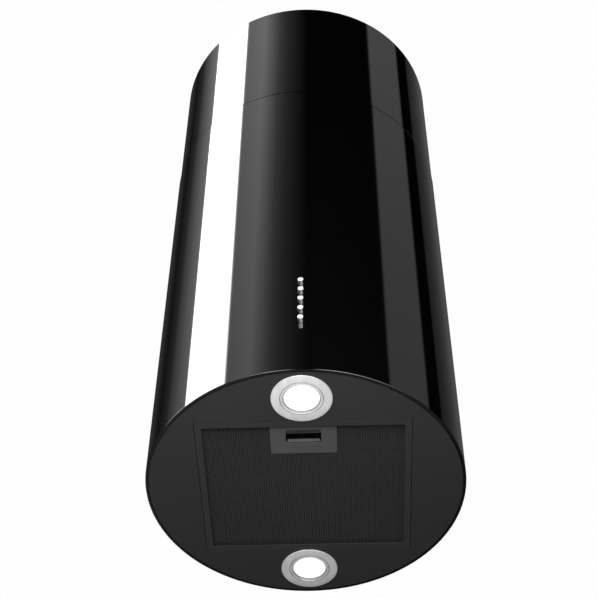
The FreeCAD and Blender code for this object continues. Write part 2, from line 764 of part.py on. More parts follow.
def filter_frame():
    """Channel-section frame, open inwards, with a bolt slot in front and two tongues behind."""
    owner = slab("filter_frame",
                 ("0 - half_filter_width", "0 - half_filter_depth",
                  "half_filter_width", "half_filter_depth"),
                 "filter_height", "filter_bottom", HOOD)
    window = sketch(owner, "XY", "filter_bottom")
    wide = "half_filter_width - filter_side_band"
    block(window, f"0 - ({wide})", "0 - mesh_front", wide, "mesh_front")
    pocket(owner, window, "filter_height * 3", midplane=True)
    channel = sketch(owner, "XY", "filter_bottom + filter_gauge")
    block(channel, "0 - channel_half_width", "0 - channel_half_depth",
          "channel_half_width", "channel_half_depth")
    pocket(owner, channel, "filter_height - 2 * filter_gauge", backwards=True)
    slot = sketch(owner, "XZ", "half_filter_depth - filter_gauge - 1")
    block(slot, "0 - bolt_width / 2 - 0.5", "bolt_level - 0.3", "bolt_width / 2 + 0.5",
          "bolt_level + latch_gauge + 0.3")
    pocket(owner, slot, "filter_gauge + 2", backwards=True)
    tongues = sketch(owner, "XY", "panel_top + 0.3")
    for side in SIDES.values():
        block(tongues, f"tongue_across * {side} - tongue_width / 2", "half_filter_depth - filter_gauge",
              f"tongue_across * {side} + tongue_width / 2", "half_filter_depth + filter_clearance + 1.9")
    pad(owner, tongues, "tongue_gauge")


def filter_mesh(name, low, high):
    """One sheet of the filter's mesh pack, cut away round the latch."""
    owner = slab("filter_mesh_" + name,
                 ("0 - mesh_half_width", "0 - mesh_half_depth", "mesh_half_width", "mesh_half_depth"),
                 f"({high}) - ({low})", low, HOOD)
    pit = sketch(owner, "XY", low)
    block(pit, "0 - pocket_half", "0 - half_filter_depth", "pocket_half", "pocket_back")
    pocket(owner, pit, "filter_height", midplane=True)


def filter_handle():
    """Flat plate across the mesh with a finger slot and two ears that back the latch springs."""
    owner = slab("filter_handle",
                 ("0 - handle_width / 2", "handle_front", "handle_width / 2", "handle_front + handle_depth"),
                 "handle_gauge", "handle_bottom", HOOD)
    slot = sketch(owner, "XY", "handle_bottom")
    block(slot, "0 - slot_width / 2", "slot_front", "slot_width / 2", "slot_back")
    cut = pocket(owner, slot, "handle_gauge * 3", midplane=True)
    corners = [f"Edge{index}" for index, edge in enumerate(cut.Shape.Edges, start=1)
               if upright_edge(edge) and abs(edge.Vertexes[0].X) < value_of("slot_width / 2 + 1")]
    rounded = owner.newObject("PartDesign::Fillet", "filter_handle_corners")
    rounded.Base = (cut, corners)
    drive(rounded, Radius="slot_corner")
    ears = sketch(owner, "XY", "mesh_bottom")
    for side in SIDES.values():
        block(ears, f"spring_across * {side} - ear_width / 2", "spring_back",
              f"spring_across * {side} + ear_width / 2", "spring_back + handle_gauge")
    pad(owner, ears, "ear_height")


def upright_edge(edge):
    """True for a straight edge that runs along Z."""
    ends = [vertex.Point for vertex in edge.Vertexes]
    return len(ends) == 2 and (ends[0] - ends[1]).cross(Vector(0, 0, 1)).Length < 1e-6


def filter_latch():
    """Sliding catch: a plate above the finger slot, a leg down and a bolt over the panel's edge."""
    owner = slab("filter_latch",
                 ("0 - spring_across - ear_width / 2", "leg_front", "spring_across + ear_width / 2",
                  "spring_front"),
                 "latch_gauge", "latch_level", HOOD)
    leg = sketch(owner, "XY", "bolt_level")
    block(leg, "0 - bolt_width / 2", "leg_front", "bolt_width / 2", "leg_front + latch_gauge")
    pad(owner, leg, "latch_level - bolt_level")
    bolt = sketch(owner, "XY", "bolt_level")
    block(bolt, "0 - bolt_width / 2", "0 - half_filter_depth - filter_clearance - latch_overlap",
          "bolt_width / 2", "leg_front + latch_gauge")
    pad(owner, bolt, "latch_gauge")
    ears = sketch(owner, "XY", "latch_level")
    for side in SIDES.values():
        block(ears, f"spring_across * {side} - ear_width / 2", "spring_front - latch_gauge",
              f"spring_across * {side} + ear_width / 2", "spring_front")
    pad(owner, ears, "ear_height - 0.2")


def filter_latch_springs():
    """Two small springs push the latch forwards."""
    turn = FreeCAD.Rotation(Vector(1, 0, 0), -90)
    made = []
    for side in SIDES.values():
        place = (f"spring_across * {side}", "spring_front + 0.3", "spring_level + 0.3")
        made.append(spring(f"latch_spring_{len(made)}", "0.2", "1.2", "1.4", "9.8", place, turn))
    group("filter_latch_springs", made, HOOD)


# ---- lamps -------------------------------------------------------------------------------------

def lamp(name, side):
    """One recessed spot lamp: stepped trim ring, frosted lens, LED board and finned can."""
    place = ("0", f"lamp_offset * {side}", "underside")
    groove_left = "groove_radius - groove_width / 2"
    groove_right = "groove_radius + groove_width / 2"
    turned("lamp_ring_" + name, [
        ("lamp_lens_radius", "ring_bottom + 0.5"), ("lamp_lens_radius + 0.8", "ring_bottom"),
        (groove_left, "ring_bottom"), (groove_left, "ring_bottom + 0.6"),
        (groove_right, "ring_bottom + 0.6"), (groove_right, "ring_bottom"),
        ("lamp_ring_radius - 1", "ring_bottom"), ("lamp_ring_radius", "ring_bottom + 0.8"),
        ("lamp_ring_radius", "panel_bottom"), ("lamp_sleeve_radius", "panel_bottom"),
        ("lamp_sleeve_radius", "lamp_sleeve_top"), ("lamp_sleeve_radius - 1", "lamp_sleeve_top"),
        ("lamp_sleeve_radius - 1", "lens_bottom + 2"), ("lamp_lens_radius", "lens_bottom + 2")], place)
    turned("lamp_lens_" + name, [
        ("0", "lens_bottom"), ("lamp_lens_radius - 0.05", "lens_bottom"),
        ("lamp_lens_radius - 0.05", "lens_bottom + 2"), ("0", "lens_bottom + 2")], place)
    turned("lamp_board_" + name, [
        ("0", "lamp_board_level - 1.2"), ("8", "lamp_board_level - 1.2"), ("8", "lamp_board_level"),
        ("lamp_inner_radius", "lamp_board_level"),
        ("lamp_inner_radius", "lamp_board_level + lamp_board_gauge"),
        ("0", "lamp_board_level + lamp_board_gauge")], place)
    fins = [("0", "lamp_height"), ("0", "lamp_board_level + lamp_board_gauge"),
            ("lamp_inner_radius", "lamp_board_level + lamp_board_gauge")]
    for index in range(3):
        level = f"lamp_sleeve_top + 1 + {index} * fin_pitch"
        fins += [("lamp_inner_radius", level), ("lamp_inner_radius - fin_depth", level),
                 ("lamp_inner_radius - fin_depth", f"{level} + fin_pitch / 2"),
                 ("lamp_inner_radius", f"{level} + fin_pitch / 2")]
    fins.append(("lamp_inner_radius", "lamp_height"))
    turned("lamp_can_" + name, fins, place)


def lamp_clips():
    """Bent leaf springs beside each lamp that grip the panel from above."""
    leaves = []
    for end in ENDS.values():
        for side in SIDES.values():
            leaf = doc.addObject("PartDesign::Body", f"lamp_clip_{len(leaves)}")
            leaf.setExpression("Placement.Base.y", bind(f"lamp_offset * {end}"))
            bend = sketch(leaf, "XZ")
            inner = "lamp_sleeve_radius"
            outline(bend, [(f"({inner}) * {side}", "5"), (f"({inner} + 0.6) * {side}", "5"),
                           (f"({inner} + 0.6) * {side}", "12"), (f"({inner} + 7) * {side}", "panel_top"),
                           (f"({inner} + 8) * {side}", "panel_top"), (f"({inner} + 1) * {side}", "13.5"),
                           (f"({inner}) * {side}", "13.5")])
            pad(leaf, bend, "8", midplane=True)
            leaves.append(leaf)
    group("lamp_clips", leaves, HOOD)


# ---- controls and wiring -----------------------------------------------------------------------

def switch_body():
    """Switch block behind the shell with a stepped bore for each button."""
    owner = slab("switch_body",
                 ("0 - switch_width / 2", "switch_height - switch_length / 2",
                  "switch_width / 2", "switch_height + switch_length / 2"),
                 "switch_depth", "switch_face", HOOD, "XZ")
    owner.Tip.Reversed = True
    steps = (("stem_bore", "bore_depth"), ("stem_radius + 0.3", "bore_depth + button_travel + 2"))
    for radius, depth in steps:
        bores = sketch(owner, "XZ", "switch_face")
        for index in range(-2, 3):
            ring(bores, radius, "0", f"switch_height + button_pitch * {index}")
        pocket(owner, bores, depth)


def button(index):
    """Round push button with a dimpled face, a cap and a thin stem into the switch."""
    turned(f"button_{index + 1}", [
        ("0", "0 - button_face + 0.4"), ("0.5", "0 - button_face"),
        ("button_radius - 0.5", "0 - button_face"), ("button_radius", "0 - button_face + 0.5"),
        ("button_radius", "0 - button_root"), ("stem_radius", "0 - button_root"),
        ("stem_radius", "bore_depth - button_travel * 0.25 - switch_face - 3"),
        ("0", "bore_depth - button_travel * 0.25 - switch_face - 3")],
        ("0", "0", f"underside + switch_height + button_pitch * {2 - index}"), "XY")


def button_springs():
    """One return spring round each button's stem."""
    turn = FreeCAD.Rotation(Vector(1, 0, 0), -90)
    made = []
    for index in range(-2, 3):
        place = ("0", "0.4 - button_root", f"switch_height + button_pitch * {index}")
        length = "button_root - switch_face + bore_depth - 0.8"
        name = f"button_spring_{len(made)}"
        made.append(spring(name, "0.4", "2.8", f"({length}) / 6", length, place, turn))
    group("button_springs", made, HOOD)


def wiring():
    """Lamp driver in front of the works, terminal box behind it, and the gland on the box."""
    slab("led_driver",
         ("0 - driver_width / 2", "0 - half_depth - driver_depth", "driver_width / 2", "0 - half_depth"),
         "driver_height", "chassis_height * 0.72", HOOD)
    slab("terminal_box",
         ("cable_across - terminal_width / 2", "half_depth", "cable_across + terminal_width / 2",
          "half_depth + terminal_depth"), "terminal_height", "gland_level - terminal_height", HOOD)
    turned("cable_gland", [
        ("cable_radius", "0"), ("11", "0"), ("11", "5"), ("8", "5"), ("8", "12"), ("9.5", "12"),
        ("9.5", "20"), ("6", "23"), ("cable_radius", "23")],
        ("cable_across", "cable_back", "underside + gland_level"))


# ---- assembly ----------------------------------------------------------------------------------

ceiling_plate()
upper_shell()
for corner, (across, up) in CORNERS.items():
    upright("upper_upright_" + corner, across, up, "upright_clearance",
            "0 - ceiling_thickness - upper_upright_length", "0 - ceiling_thickness", (0, 0, 0), True)
ceiling_screws()
lower_shell()
base_panel()
chassis_wrap()
for name, side in SIDES.items():
    chassis_side(name, side)
for corner, (across, up) in CORNERS.items():
    upright("lower_upright_" + corner, across, up, "0 - upright_gauge",
            "panel_top", "lower_upright_top", HOOD, False)
hood_screws()
for name, side in SIDES.items():
    blower_half(name, side)
impeller()
motor()
motor_bracket()
motor_bushes()
run_capacitor()
outlet_collar()
damper_pin()
damper_flap("front", -1, ("0 - 56", "16"))
damper_flap("rear", 1, ("0 - 28", "44"))
filter_frame()
filter_mesh("front", "mesh_bottom", "mesh_bottom + mesh_gauge")
filter_mesh("core", "mesh_bottom + mesh_gauge + mesh_gap", "chamber_top - mesh_gauge - mesh_gap")
filter_mesh("back", "chamber_top - mesh_gauge", "chamber_top")
filter_handle()
filter_latch()
filter_latch_springs()
for name, side in ENDS.items():
    lamp(name, side)
lamp_clips()
switch_body()
for number in range(5):
    button(number)
button_springs()
wiring()
doc.recompute()

for item in doc.Objects:
    if "Invalid" in item.State or "Error" in item.State:
        raise RuntimeError(f"{item.Label} failed: {item.State}")
os.makedirs("parts", exist_ok=True)
for part in sub_parts:
    shape = part.Shape
    if shape.isNull() or not shape.isValid() or not shape.Solids:
        raise RuntimeError(f"{part.Label} has no valid solid")
    shape.exportStep(f"parts/{part.Label}.step")
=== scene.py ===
import math

import bpy
from mathutils import Matrix, Vector


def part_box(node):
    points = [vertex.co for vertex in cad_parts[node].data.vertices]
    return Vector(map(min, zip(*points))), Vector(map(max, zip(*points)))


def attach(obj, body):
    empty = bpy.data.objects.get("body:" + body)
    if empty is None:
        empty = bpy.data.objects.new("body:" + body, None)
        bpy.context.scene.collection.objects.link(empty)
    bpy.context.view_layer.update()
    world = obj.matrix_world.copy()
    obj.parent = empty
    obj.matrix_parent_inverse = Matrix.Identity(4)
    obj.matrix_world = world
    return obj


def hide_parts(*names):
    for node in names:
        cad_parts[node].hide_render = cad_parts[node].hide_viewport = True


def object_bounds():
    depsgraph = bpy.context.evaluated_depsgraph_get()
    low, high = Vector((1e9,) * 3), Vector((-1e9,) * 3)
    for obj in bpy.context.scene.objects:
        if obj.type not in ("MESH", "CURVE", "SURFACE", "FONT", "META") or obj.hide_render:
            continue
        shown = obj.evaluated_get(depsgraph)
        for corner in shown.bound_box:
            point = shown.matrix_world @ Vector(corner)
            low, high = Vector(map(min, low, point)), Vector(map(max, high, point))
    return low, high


bl_info = {
    "name": "Tube Range Hood",
    "version": (1, 0, 0),
    "blender": (4, 5, 0),
    "location": "View3D > Sidebar > Range Hood",
    "description": "Builds the looks of a tube-shaped island range hood round its engineering frame",
    "category": "Object",
}

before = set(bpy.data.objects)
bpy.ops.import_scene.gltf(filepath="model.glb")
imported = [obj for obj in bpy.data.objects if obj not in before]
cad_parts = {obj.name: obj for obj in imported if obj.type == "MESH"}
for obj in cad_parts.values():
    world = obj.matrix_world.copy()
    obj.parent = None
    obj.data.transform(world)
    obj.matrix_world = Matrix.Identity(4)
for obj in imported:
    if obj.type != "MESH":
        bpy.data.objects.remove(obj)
CAD_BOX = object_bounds()
MM = 0.001
SHARP = math.radians(32)  # edges that turn more than this stay sharp or are rounded
POLE = 0.01 * MM  # radius that stands for nought where a turned form meets its axis
ARC_STEPS = 4


# ---- sizes and colours -------------------------------------------------------------------------

def length(name, description, default):
    """A length property in metres."""
    return bpy.props.FloatProperty(name=name, description=description, default=default, unit="LENGTH",
                                   precision=5)


def colour(name, description, default):
    """A colour property."""
    return bpy.props.FloatVectorProperty(name=name, description=description, default=default,
                                         subtype="COLOR", size=3, min=0, max=1)


class HoodSizes(bpy.types.PropertyGroup):
    """Fine sizes that the engineering frame leaves to the looks."""
    hem_round: length("Hem rounding", "Radius of the lower shell's folded edge", 1.1 * MM)
    edge_round: length("Edge rounding", "Radius of small sheet and plate edges", 0.25 * MM)
    strand: length("Mesh strand", "Width of one strand of the expanded filter mesh", 0.95 * MM)
    mesh_long: length("Mesh long way", "Pitch of the mesh openings across the hood", 5.88 * MM)
    mesh_short: length("Mesh short way", "Pitch of the mesh openings front to back", 3.92 * MM)
    mesh_relief: length("Mesh relief", "Height of the mesh's strands", 0.45 * MM)
    floor_drop: length("Floor drop", "Height of the hood's underside above the floor", 3.3)


class HoodColours(bpy.types.PropertyGroup):
    """Base colours of the finishes that show."""
    shell: colour("Shell", "Gloss black enamel", (0.0006, 0.0006, 0.0007))
    panel: colour("Underside", "Satin dark grey paint", (0.0115, 0.0115, 0.0115))
    filter: colour("Filter frame", "Dark grey painted filter frame", (0.0122, 0.0122, 0.0122))
    plate: colour("Finger plate", "Grey painted finger plate", (0.032, 0.032, 0.032))
    strand: colour("Mesh", "Dark anodised filter mesh", (0.0175, 0.0175, 0.0175))
    ring: colour("Lamp ring", "Satin nickel", (0.385, 0.385, 0.385))
    chrome: colour("Button", "Polished chrome", (0.82, 0.82, 0.83))
    zinc: colour("Galvanised sheet", "Zinc-coated steel", (0.30, 0.31, 0.32))


# ---- shader building ---------------------------------------------------------------------------

class Wire:
    """A shader socket that takes part in Python arithmetic."""

    def __init__(self, graph, socket):
        self.graph = graph
        self.socket = socket

    def maths(self, operation, first, second):
        return self.graph.add("ShaderNodeMath", {"operation": operation}, {0: first, 1: second})

    def __add__(self, other):
        return self.maths("ADD", self, other)

    def __sub__(self, other):
        return self.maths("SUBTRACT", self, other)

    def __mul__(self, other):
        return self.maths("MULTIPLY", self, other)

    def __truediv__(self, other):
        return self.maths("DIVIDE", self, other)

    def __rsub__(self, other):
        return self.maths("SUBTRACT", other, self)

    __radd__ = __add__
    __rmul__ = __mul__


class Graph:
    """A node tree that is filled one node at a time."""

    def __init__(self, tree):
        self.tree = tree
        tree.nodes.clear()

    def add(self, kind, settings=None, values=None, output=0):
        """Add a node, set its settings, then set or link its inputs; returns one output as a Wire."""
        node = self.tree.nodes.new(kind)
        for name, setting in (settings or {}).items():
            if name == "stops":
                fill_ramp(node.color_ramp, setting)
            else:
                setattr(node, name, setting)
        for name, value in (values or {}).items():
            if isinstance(value, Wire):
                self.tree.links.new(value.socket, node.inputs[name])
            else:
                node.inputs[name].default_value = value
        return Wire(self, node.outputs[output]) if node.outputs else node

    def place(self, scale=(1, 1, 1), centre=(0, 0, 0)):
        """Object coordinates, moved so that centre is the origin and then scaled."""
        spot = self.add("ShaderNodeTexCoord", output="Object")
        moved = self.add("ShaderNodeVectorMath", {"operation": "SUBTRACT"}, {0: spot, 1: centre})
        return self.add("ShaderNodeVectorMath", {"operation": "MULTIPLY"}, {0: moved, 1: scale})

    def part(self, vector, axis):
        """One part of a vector: X, Y or Z."""
        return self.add("ShaderNodeSeparateXYZ", {}, {"Vector": vector}, output=axis)

    def reach(self, centre):
        """Distance from an upright axis through centre."""
        spot = self.place((1, 1, 0), centre)
        return self.add("ShaderNodeVectorMath", {"operation": "LENGTH"}, {0: spot}, output="Value")

    def fade(self, value, start, end, first, last):
        """A value that runs from first at start to last at end."""
        return self.add("ShaderNodeMapRange", {}, {"Value": value, "From Min": start, "From Max": end,
                                                   "To Min": first, "To Max": last})

    def ramp(self, value, stops):
        """Grey levels at stated stops."""
        return self.add("ShaderNodeValToRGB", {"stops": stops}, {"Fac": value})

    def light(self, colour, strength):
        """Plain light for the surroundings."""
        return self.add("ShaderNodeBackground", {}, {"Color": colour, "Strength": strength})

    def noise(self, vector, scale, detail=3.0):
        """Soft noise in the range 0 to 1."""
        return self.add("ShaderNodeTexNoise", {}, {"Vector": vector, "Scale": scale, "Detail": detail})

    def mix(self, factor, first, second):
        """Blend two colours."""
        return self.add("ShaderNodeMix", {"data_type": "RGBA"}, {0: factor, 6: first, 7: second}, output=2)

    def bump(self, height, strength, distance):
        """A normal raised by height."""
        return self.add("ShaderNodeBump", {}, {"Height": height, "Strength": strength, "Distance": distance})

    def finish(self, values):
        """Close a material with one Principled surface."""
        surface = self.add("ShaderNodeBsdfPrincipled", {}, values)
        self.add("ShaderNodeOutputMaterial", {}, {"Surface": surface})


def fill_ramp(ramp, stops):
    """Give a colour ramp its stops, as pairs of position and grey level."""
    while len(ramp.elements) > 1:
        ramp.elements.remove(ramp.elements[-1])
    for index, (position, level) in enumerate(stops):
        element = ramp.elements[0] if index == 0 else ramp.elements.new(position)
        element.position = position
        element.color = (level, level, level, 1)


def material(name):
    """A new material and the graph to fill."""
    made = bpy.data.materials.new(name)
    made.use_nodes = True
    return made, Graph(made.node_tree)


def shade(rgb, factor):
    """A colour made lighter or darker, with full alpha."""
    return tuple(min(1.0, part * factor) for part in rgb) + (1.0,)


# ---- finishes ----------------------------------------------------------------------------------

def enamel():
    """Gloss black enamel: deep, almost level, with a trace of wipe marks in the gloss."""
    made, graph = material("gloss_black_enamel")
    base = tuple(bpy.context.scene.hood_colours.shell)
    cloud = graph.noise(graph.place(), 9.0)
    wipes = graph.noise(graph.place((240, 240, 14)), 1.0, 4.0)
    level = graph.noise(graph.place(), 420.0, 1.0)
    graph.finish({
        "Base Color": graph.mix(cloud, shade(base, 0.8), shade(base, 1.25)),
        "Roughness": wipes * 0.03 + 0.022,
        "Normal": graph.bump(level, 0.02, 0.00002)})
    return made


def panel_paint():
    """Fine-grained satin paint of the underside."""
    made, graph = material("satin_panel_paint")
    base = tuple(bpy.context.scene.hood_colours.panel)
    grain = graph.noise(graph.place(), 1800.0, 2.0)
    cloud = graph.noise(graph.place(), 7.0)
    graph.finish({
        "Base Color": graph.mix(cloud * 0.5 + grain * 0.5, shade(base, 0.85), shade(base, 1.15)),
        "Roughness": cloud * 0.06 + 0.42,
        "Specular IOR Level": 0.2,
        "Normal": graph.bump(grain, 0.12, 0.00004)})
    return made


def brushed(name, base, across, rough, metallic=1.0, face=None):
    """Metal with fine straight brushing; given a face height, painted shade darkens everything above it to a
    tenth of the base colour.
    """
    made, graph = material(name)
    lines = graph.noise(graph.place(across), 1.0, 4.0)
    cloud = graph.noise(graph.place(), 24.0)
    paint = graph.mix(cloud * 0.5 + lines * 0.5, shade(base, 0.82), shade(base, 1.12))
    if face is not None:
        # painted shade: base colour darkened to a tenth above the face, standing in for the shade in the
        # finger slot and on the lip and ears
        painted_recess_shade = graph.fade(graph.part(graph.place(), "Z"), face + 0.1 * MM, face + 0.6 * MM, 0.0, 1.0)
        paint = graph.mix(painted_recess_shade, paint, shade(base, 0.10))
    graph.finish({
        "Base Color": paint,
        "Metallic": metallic,
        "Roughness": lines * 0.12 + rough,
        "Normal": graph.bump(lines, 0.15, 0.00003)})
    return made


def turned_metal(name, base, centre):
    """Satin ring with fine lathe marks, and painted shade on the chamfer round the lens, in the turned groove
    and at the outer edge.
    """
    made, graph = material(name)
    radius = graph.reach(centre)
    rings = graph.add("ShaderNodeTexNoise", {"noise_dimensions": "1D"}, {"W": radius, "Scale": 2600.0,
                                                                       "Detail": 2.0})
    sweep = graph.noise(graph.place((160, 42, 42)), 1.0, 4.0)
    # painted shade: darkens the base colour towards 0.3 of itself at the chamfer, the groove and the outer
    # edge
    lines = graph.ramp(radius / RING_PAINTED_SHADE_REACH, RING_PAINTED_SHADE)
    metal = graph.mix(sweep * 0.7 + rings * 0.3, shade(base, 0.66), shade(base, 1.34))
    graph.finish({
        "Base Color": graph.mix(lines, shade(base, 0.30), metal),
        "Metallic": 0.35,
        "Roughness": rings * 0.14 + 0.28,
        "Normal": graph.bump(rings, 0.25, 0.00003)})
    return made


# Painted shade on the ring's face: full level where it is lit, dark on the chamfer round the lens, in the
# turned groove and at the outer edge; as parts of this radius and levels.
RING_PAINTED_SHADE_REACH = 35 * MM
RING_PAINTED_SHADE = [(0.0, 0.0), (0.622, 0.0), (0.645, 1.0), (0.70, 1.0), (0.712, 0.15), (0.728, 0.15),
              (0.74, 1.0), (0.985, 1.0), (1.0, 0.7)]


def galvanised():
    """Zinc-coated sheet with its frosty spangle."""
    made, graph = material("galvanised_sheet")
    base = tuple(bpy.context.scene.hood_colours.zinc)
    warp = graph.noise(graph.place(), 60.0)
    cells = graph.add("ShaderNodeTexVoronoi", {"feature": "F1"},
                      {"Vector": graph.place(), "Scale": 110.0, "Randomness": 1.0}, output="Color")
    facet = graph.add("ShaderNodeSeparateColor", {}, {"Color": cells}, output=0)
    graph.finish({
        "Base Color": graph.mix(facet * 0.7 + warp * 0.3, shade(base, 0.78), shade(base, 1.12)),
        "Metallic": 0.85,
        "Roughness": facet * 0.16 + 0.34,
        "Normal": graph.bump(facet, 0.10, 0.00004)})
    return made


def moulded(name, base, rough=0.45):
    """Moulded plastic with a fine spark-eroded grain."""
    made, graph = material(name)
    grain = graph.noise(graph.place(), 2200.0, 2.0)
    cloud = graph.noise(graph.place(), 18.0)
    graph.finish({
        "Base Color": graph.mix(cloud, shade(base, 0.85), shade(base, 1.2)),
        "Roughness": grain * 0.10 + rough,
        "Normal": graph.bump(grain, 0.25, 0.00005)})
    return made


def chrome(face):
    """Bright plating with faint handling marks, satin on the end face at the given place along Y."""
    made, graph = material("button_chrome_plate")
    base = tuple(bpy.context.scene.hood_colours.chrome)
    marks = graph.noise(graph.place(), 900.0, 4.0)
    satin = graph.fade(graph.part(graph.place(), "Y"), face + 0.2 * MM, face + 0.6 * MM, 1.0, 0.0)
    graph.finish({
        "Base Color": graph.mix(marks, shade(base, 0.94), shade(base, 1.05)),
        "Metallic": satin * -0.25 + 1.0,
        "Roughness": marks * 0.05 + satin * 0.42 + 0.03,
        "Normal": graph.bump(marks, 0.05, 0.00001)})
    return made


def laminated():
    """Stack of thin electrical steel plates, seen as lines across the motor's axis."""
    made, graph = material("laminated_steel")
    plates = graph.add("ShaderNodeTexWave", {"wave_type": "BANDS", "bands_direction": "X"},
                       {"Vector": graph.place(), "Scale": 320.0, "Distortion": 0.0})
    cloud = graph.noise(graph.place(), 40.0)
    graph.finish({
        "Base Color": graph.mix(plates * 0.6 + cloud * 0.4, (0.16, 0.16, 0.17, 1), (0.42, 0.42, 0.43, 1)),
        "Metallic": 0.9,
        "Roughness": cloud * 0.2 + 0.35,
        "Normal": graph.bump(plates, 0.4, 0.0001)})
    return made


def diffuser(name, centre):
    """Frosted lit lens: even white that fades near its rim."""
    made, graph = material(name)
    frost = graph.noise(graph.place(), 2600.0, 2.0)
    glow = graph.fade(graph.reach(centre), 16.5 * MM, 21.2 * MM, 1.0, 0.0)
    graph.finish({
        "Base Color": (0.40, 0.40, 0.40, 1),
        "Roughness": frost * 0.1 + 0.35,
        "Emission Color": graph.mix(glow, (0.04, 0.04, 0.04, 1), (1.0, 1.0, 1.0, 1)),
        "Emission Strength": 1.7,
        "Normal": graph.bump(frost, 0.2, 0.00005)})
    return made


def circuit_board():
    """White lamp board with a ring of small LED packages."""
    made, graph = material("lamp_circuit_board")
    cells = graph.add("ShaderNodeTexVoronoi", {"feature": "F1"},
                      {"Vector": graph.place(), "Scale": 170.0, "Randomness": 0.0}, output="Distance")
    chip = graph.add("ShaderNodeMath", {"operation": "LESS_THAN"}, {0: cells, 1: 0.28})
    cloud = graph.noise(graph.place(), 90.0)
    graph.finish({
        "Base Color": graph.mix(chip, (0.80, 0.81, 0.80, 1), (0.75, 0.62, 0.16, 1)),
        "Roughness": cloud * 0.1 + 0.30})
    return made


FINISHES = {}


def make_finishes():
    """Build each finish once; pieces look them up by name."""
    colours = bpy.context.scene.hood_colours
    lamp_middle = {end: middle(f"lamp_ring_{end}") for end in ("front", "rear")}
    FINISHES.update({
        "shell": enamel(),
        "panel": panel_paint(),
        "zinc": galvanised(),
        "screw": brushed("zinc_screw_metal", (0.66, 0.66, 0.64), (400, 400, 400), 0.26),
        "filter": brushed("filter_frame_paint", tuple(colours.filter), (700, 700, 700), 0.42, 0.15),
        # The finger plate's finish: painted shade darkens the lip, ears and everything above the plate's
        # face.
        "plate": brushed("finger_plate_paint", tuple(colours.plate), (60, 1800, 1800), 0.42, 0.15,
                         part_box("filter_handle")[0].z),
        "catch": brushed("catch_metal", tuple(colours.filter), (60, 1800, 1800), 0.42, 0.15),
        "strand": brushed("mesh_metal", tuple(colours.strand), (900, 900, 900), 0.40, 0.2),
        # painted shade: the inner mesh layers get the mesh colour darkened to near black, standing in for the
        # dim chamber behind the front mesh
        "deep": brushed("inner_mesh_painted_shade", shade(colours.strand, 0.02)[:3], (900, 900, 900), 0.6),
        "plastic": moulded("black_moulding", (0.022, 0.022, 0.024)),
        "housing": moulded("dark_grey_moulding", (0.055, 0.057, 0.06), 0.5),
        "rubber": moulded("bush_rubber_skin", (0.015, 0.015, 0.015), 0.75),
        "cast": brushed("cast_aluminium_skin", (0.58, 0.58, 0.59), (300, 300, 300), 0.42),
        "steel": brushed("ground_steel", (0.50, 0.50, 0.51), (2000, 200, 200), 0.25),
        "spring": brushed("spring_wire", (0.48, 0.48, 0.50), (500, 500, 500), 0.28),
        "bronze": brushed("bearing_bronze_skin", (0.55, 0.36, 0.16), (400, 400, 400), 0.35),
        "laminated": laminated(),
        "chrome": chrome(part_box("button_1")[0].y),
        "board": circuit_board(),
        "ring_front": turned_metal("satin_ring_front", tuple(colours.ring), lamp_middle["front"]),
        "ring_rear": turned_metal("satin_ring_rear", tuple(colours.ring), lamp_middle["rear"]),
        "lens_front": diffuser("lit_lens_front", lamp_middle["front"]),
        "lens_rear": diffuser("lit_lens_rear", lamp_middle["rear"]),
    })


CAD_FINISHES = {
    "zinc": ("ceiling_plate", "chassis_", "upper_upright_", "lower_upright_", "motor_bracket"),
    "screw": ("ceiling_screws", "hood_screws"),
    "shell": ("upper_shell", "lower_shell"),
    "panel": ("base_panel",),
    "filter": ("filter_frame",),
    "plate": ("filter_handle",),
    "catch": ("filter_latch",),
    "strand": ("filter_mesh_",),
    "housing": ("blower_housing_", "outlet_collar", "impeller"),
    "plastic": ("switch_body", "led_driver", "terminal_box", "cable_gland", "damper_flap_"),
    "rubber": ("motor_bushes",),
    "cast": ("motor_end_shield_", "run_capacitor", "lamp_can_"),
    "steel": ("motor_shaft", "damper_pin"),
    "spring": ("button_springs", "filter_latch_springs", "lamp_clips"),
    "bronze": ("motor_bearings",),
    "laminated": ("motor_stator", "motor_rotor"),
    "chrome": ("button_",),
    "board": ("lamp_board_",),
    "ring_front": ("lamp_ring_front",),
    "ring_rear": ("lamp_ring_rear",),
    "lens_front": ("lamp_lens_front",),
    "lens_rear": ("lamp_lens_rear",),
}


# ---- modelling by hand -------------------------------------------------------------------------

def middle(node):
    """Centre of a CAD node's box."""
    low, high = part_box(node)
    return (low + high) / 2


def clear_selection():
    if bpy.context.object and bpy.context.object.mode != "OBJECT":
        bpy.ops.object.mode_set(mode="OBJECT")
    bpy.ops.object.select_all(action="DESELECT")


def choose(*pieces):
    """Select only these pieces and make the first one active."""
    clear_selection()
    for piece in pieces:
        piece.select_set(True)
    bpy.context.view_layer.objects.active = pieces[0]


def open_mesh(piece):
    """Edit a piece by its vertices, with all of them selected."""
    choose(piece)
    bpy.ops.object.mode_set(mode="EDIT")
    bpy.ops.mesh.select_mode(type="VERT")
    bpy.ops.mesh.select_all(action="SELECT")


def stack(levels):
    """Extrude the selected loop through levels of (half width, half depth, height), then close seams."""
    across, deep, height = levels[0]
    for wide, long, top in levels[1:]:
        bpy.ops.mesh.extrude_region_move(TRANSFORM_OT_translate={"value": (0, 0, top - height)})
        bpy.ops.transform.resize(value=(wide / across, long / deep, 1), center_override=(0, 0, top))
        across, deep, height = wide, long, top
    bpy.ops.mesh.select_all(action="SELECT")
    bpy.ops.mesh.remove_doubles(threshold=POLE * 3)
    bpy.ops.mesh.normals_make_consistent(inside=False)
    bpy.ops.object.mode_set(mode="OBJECT")


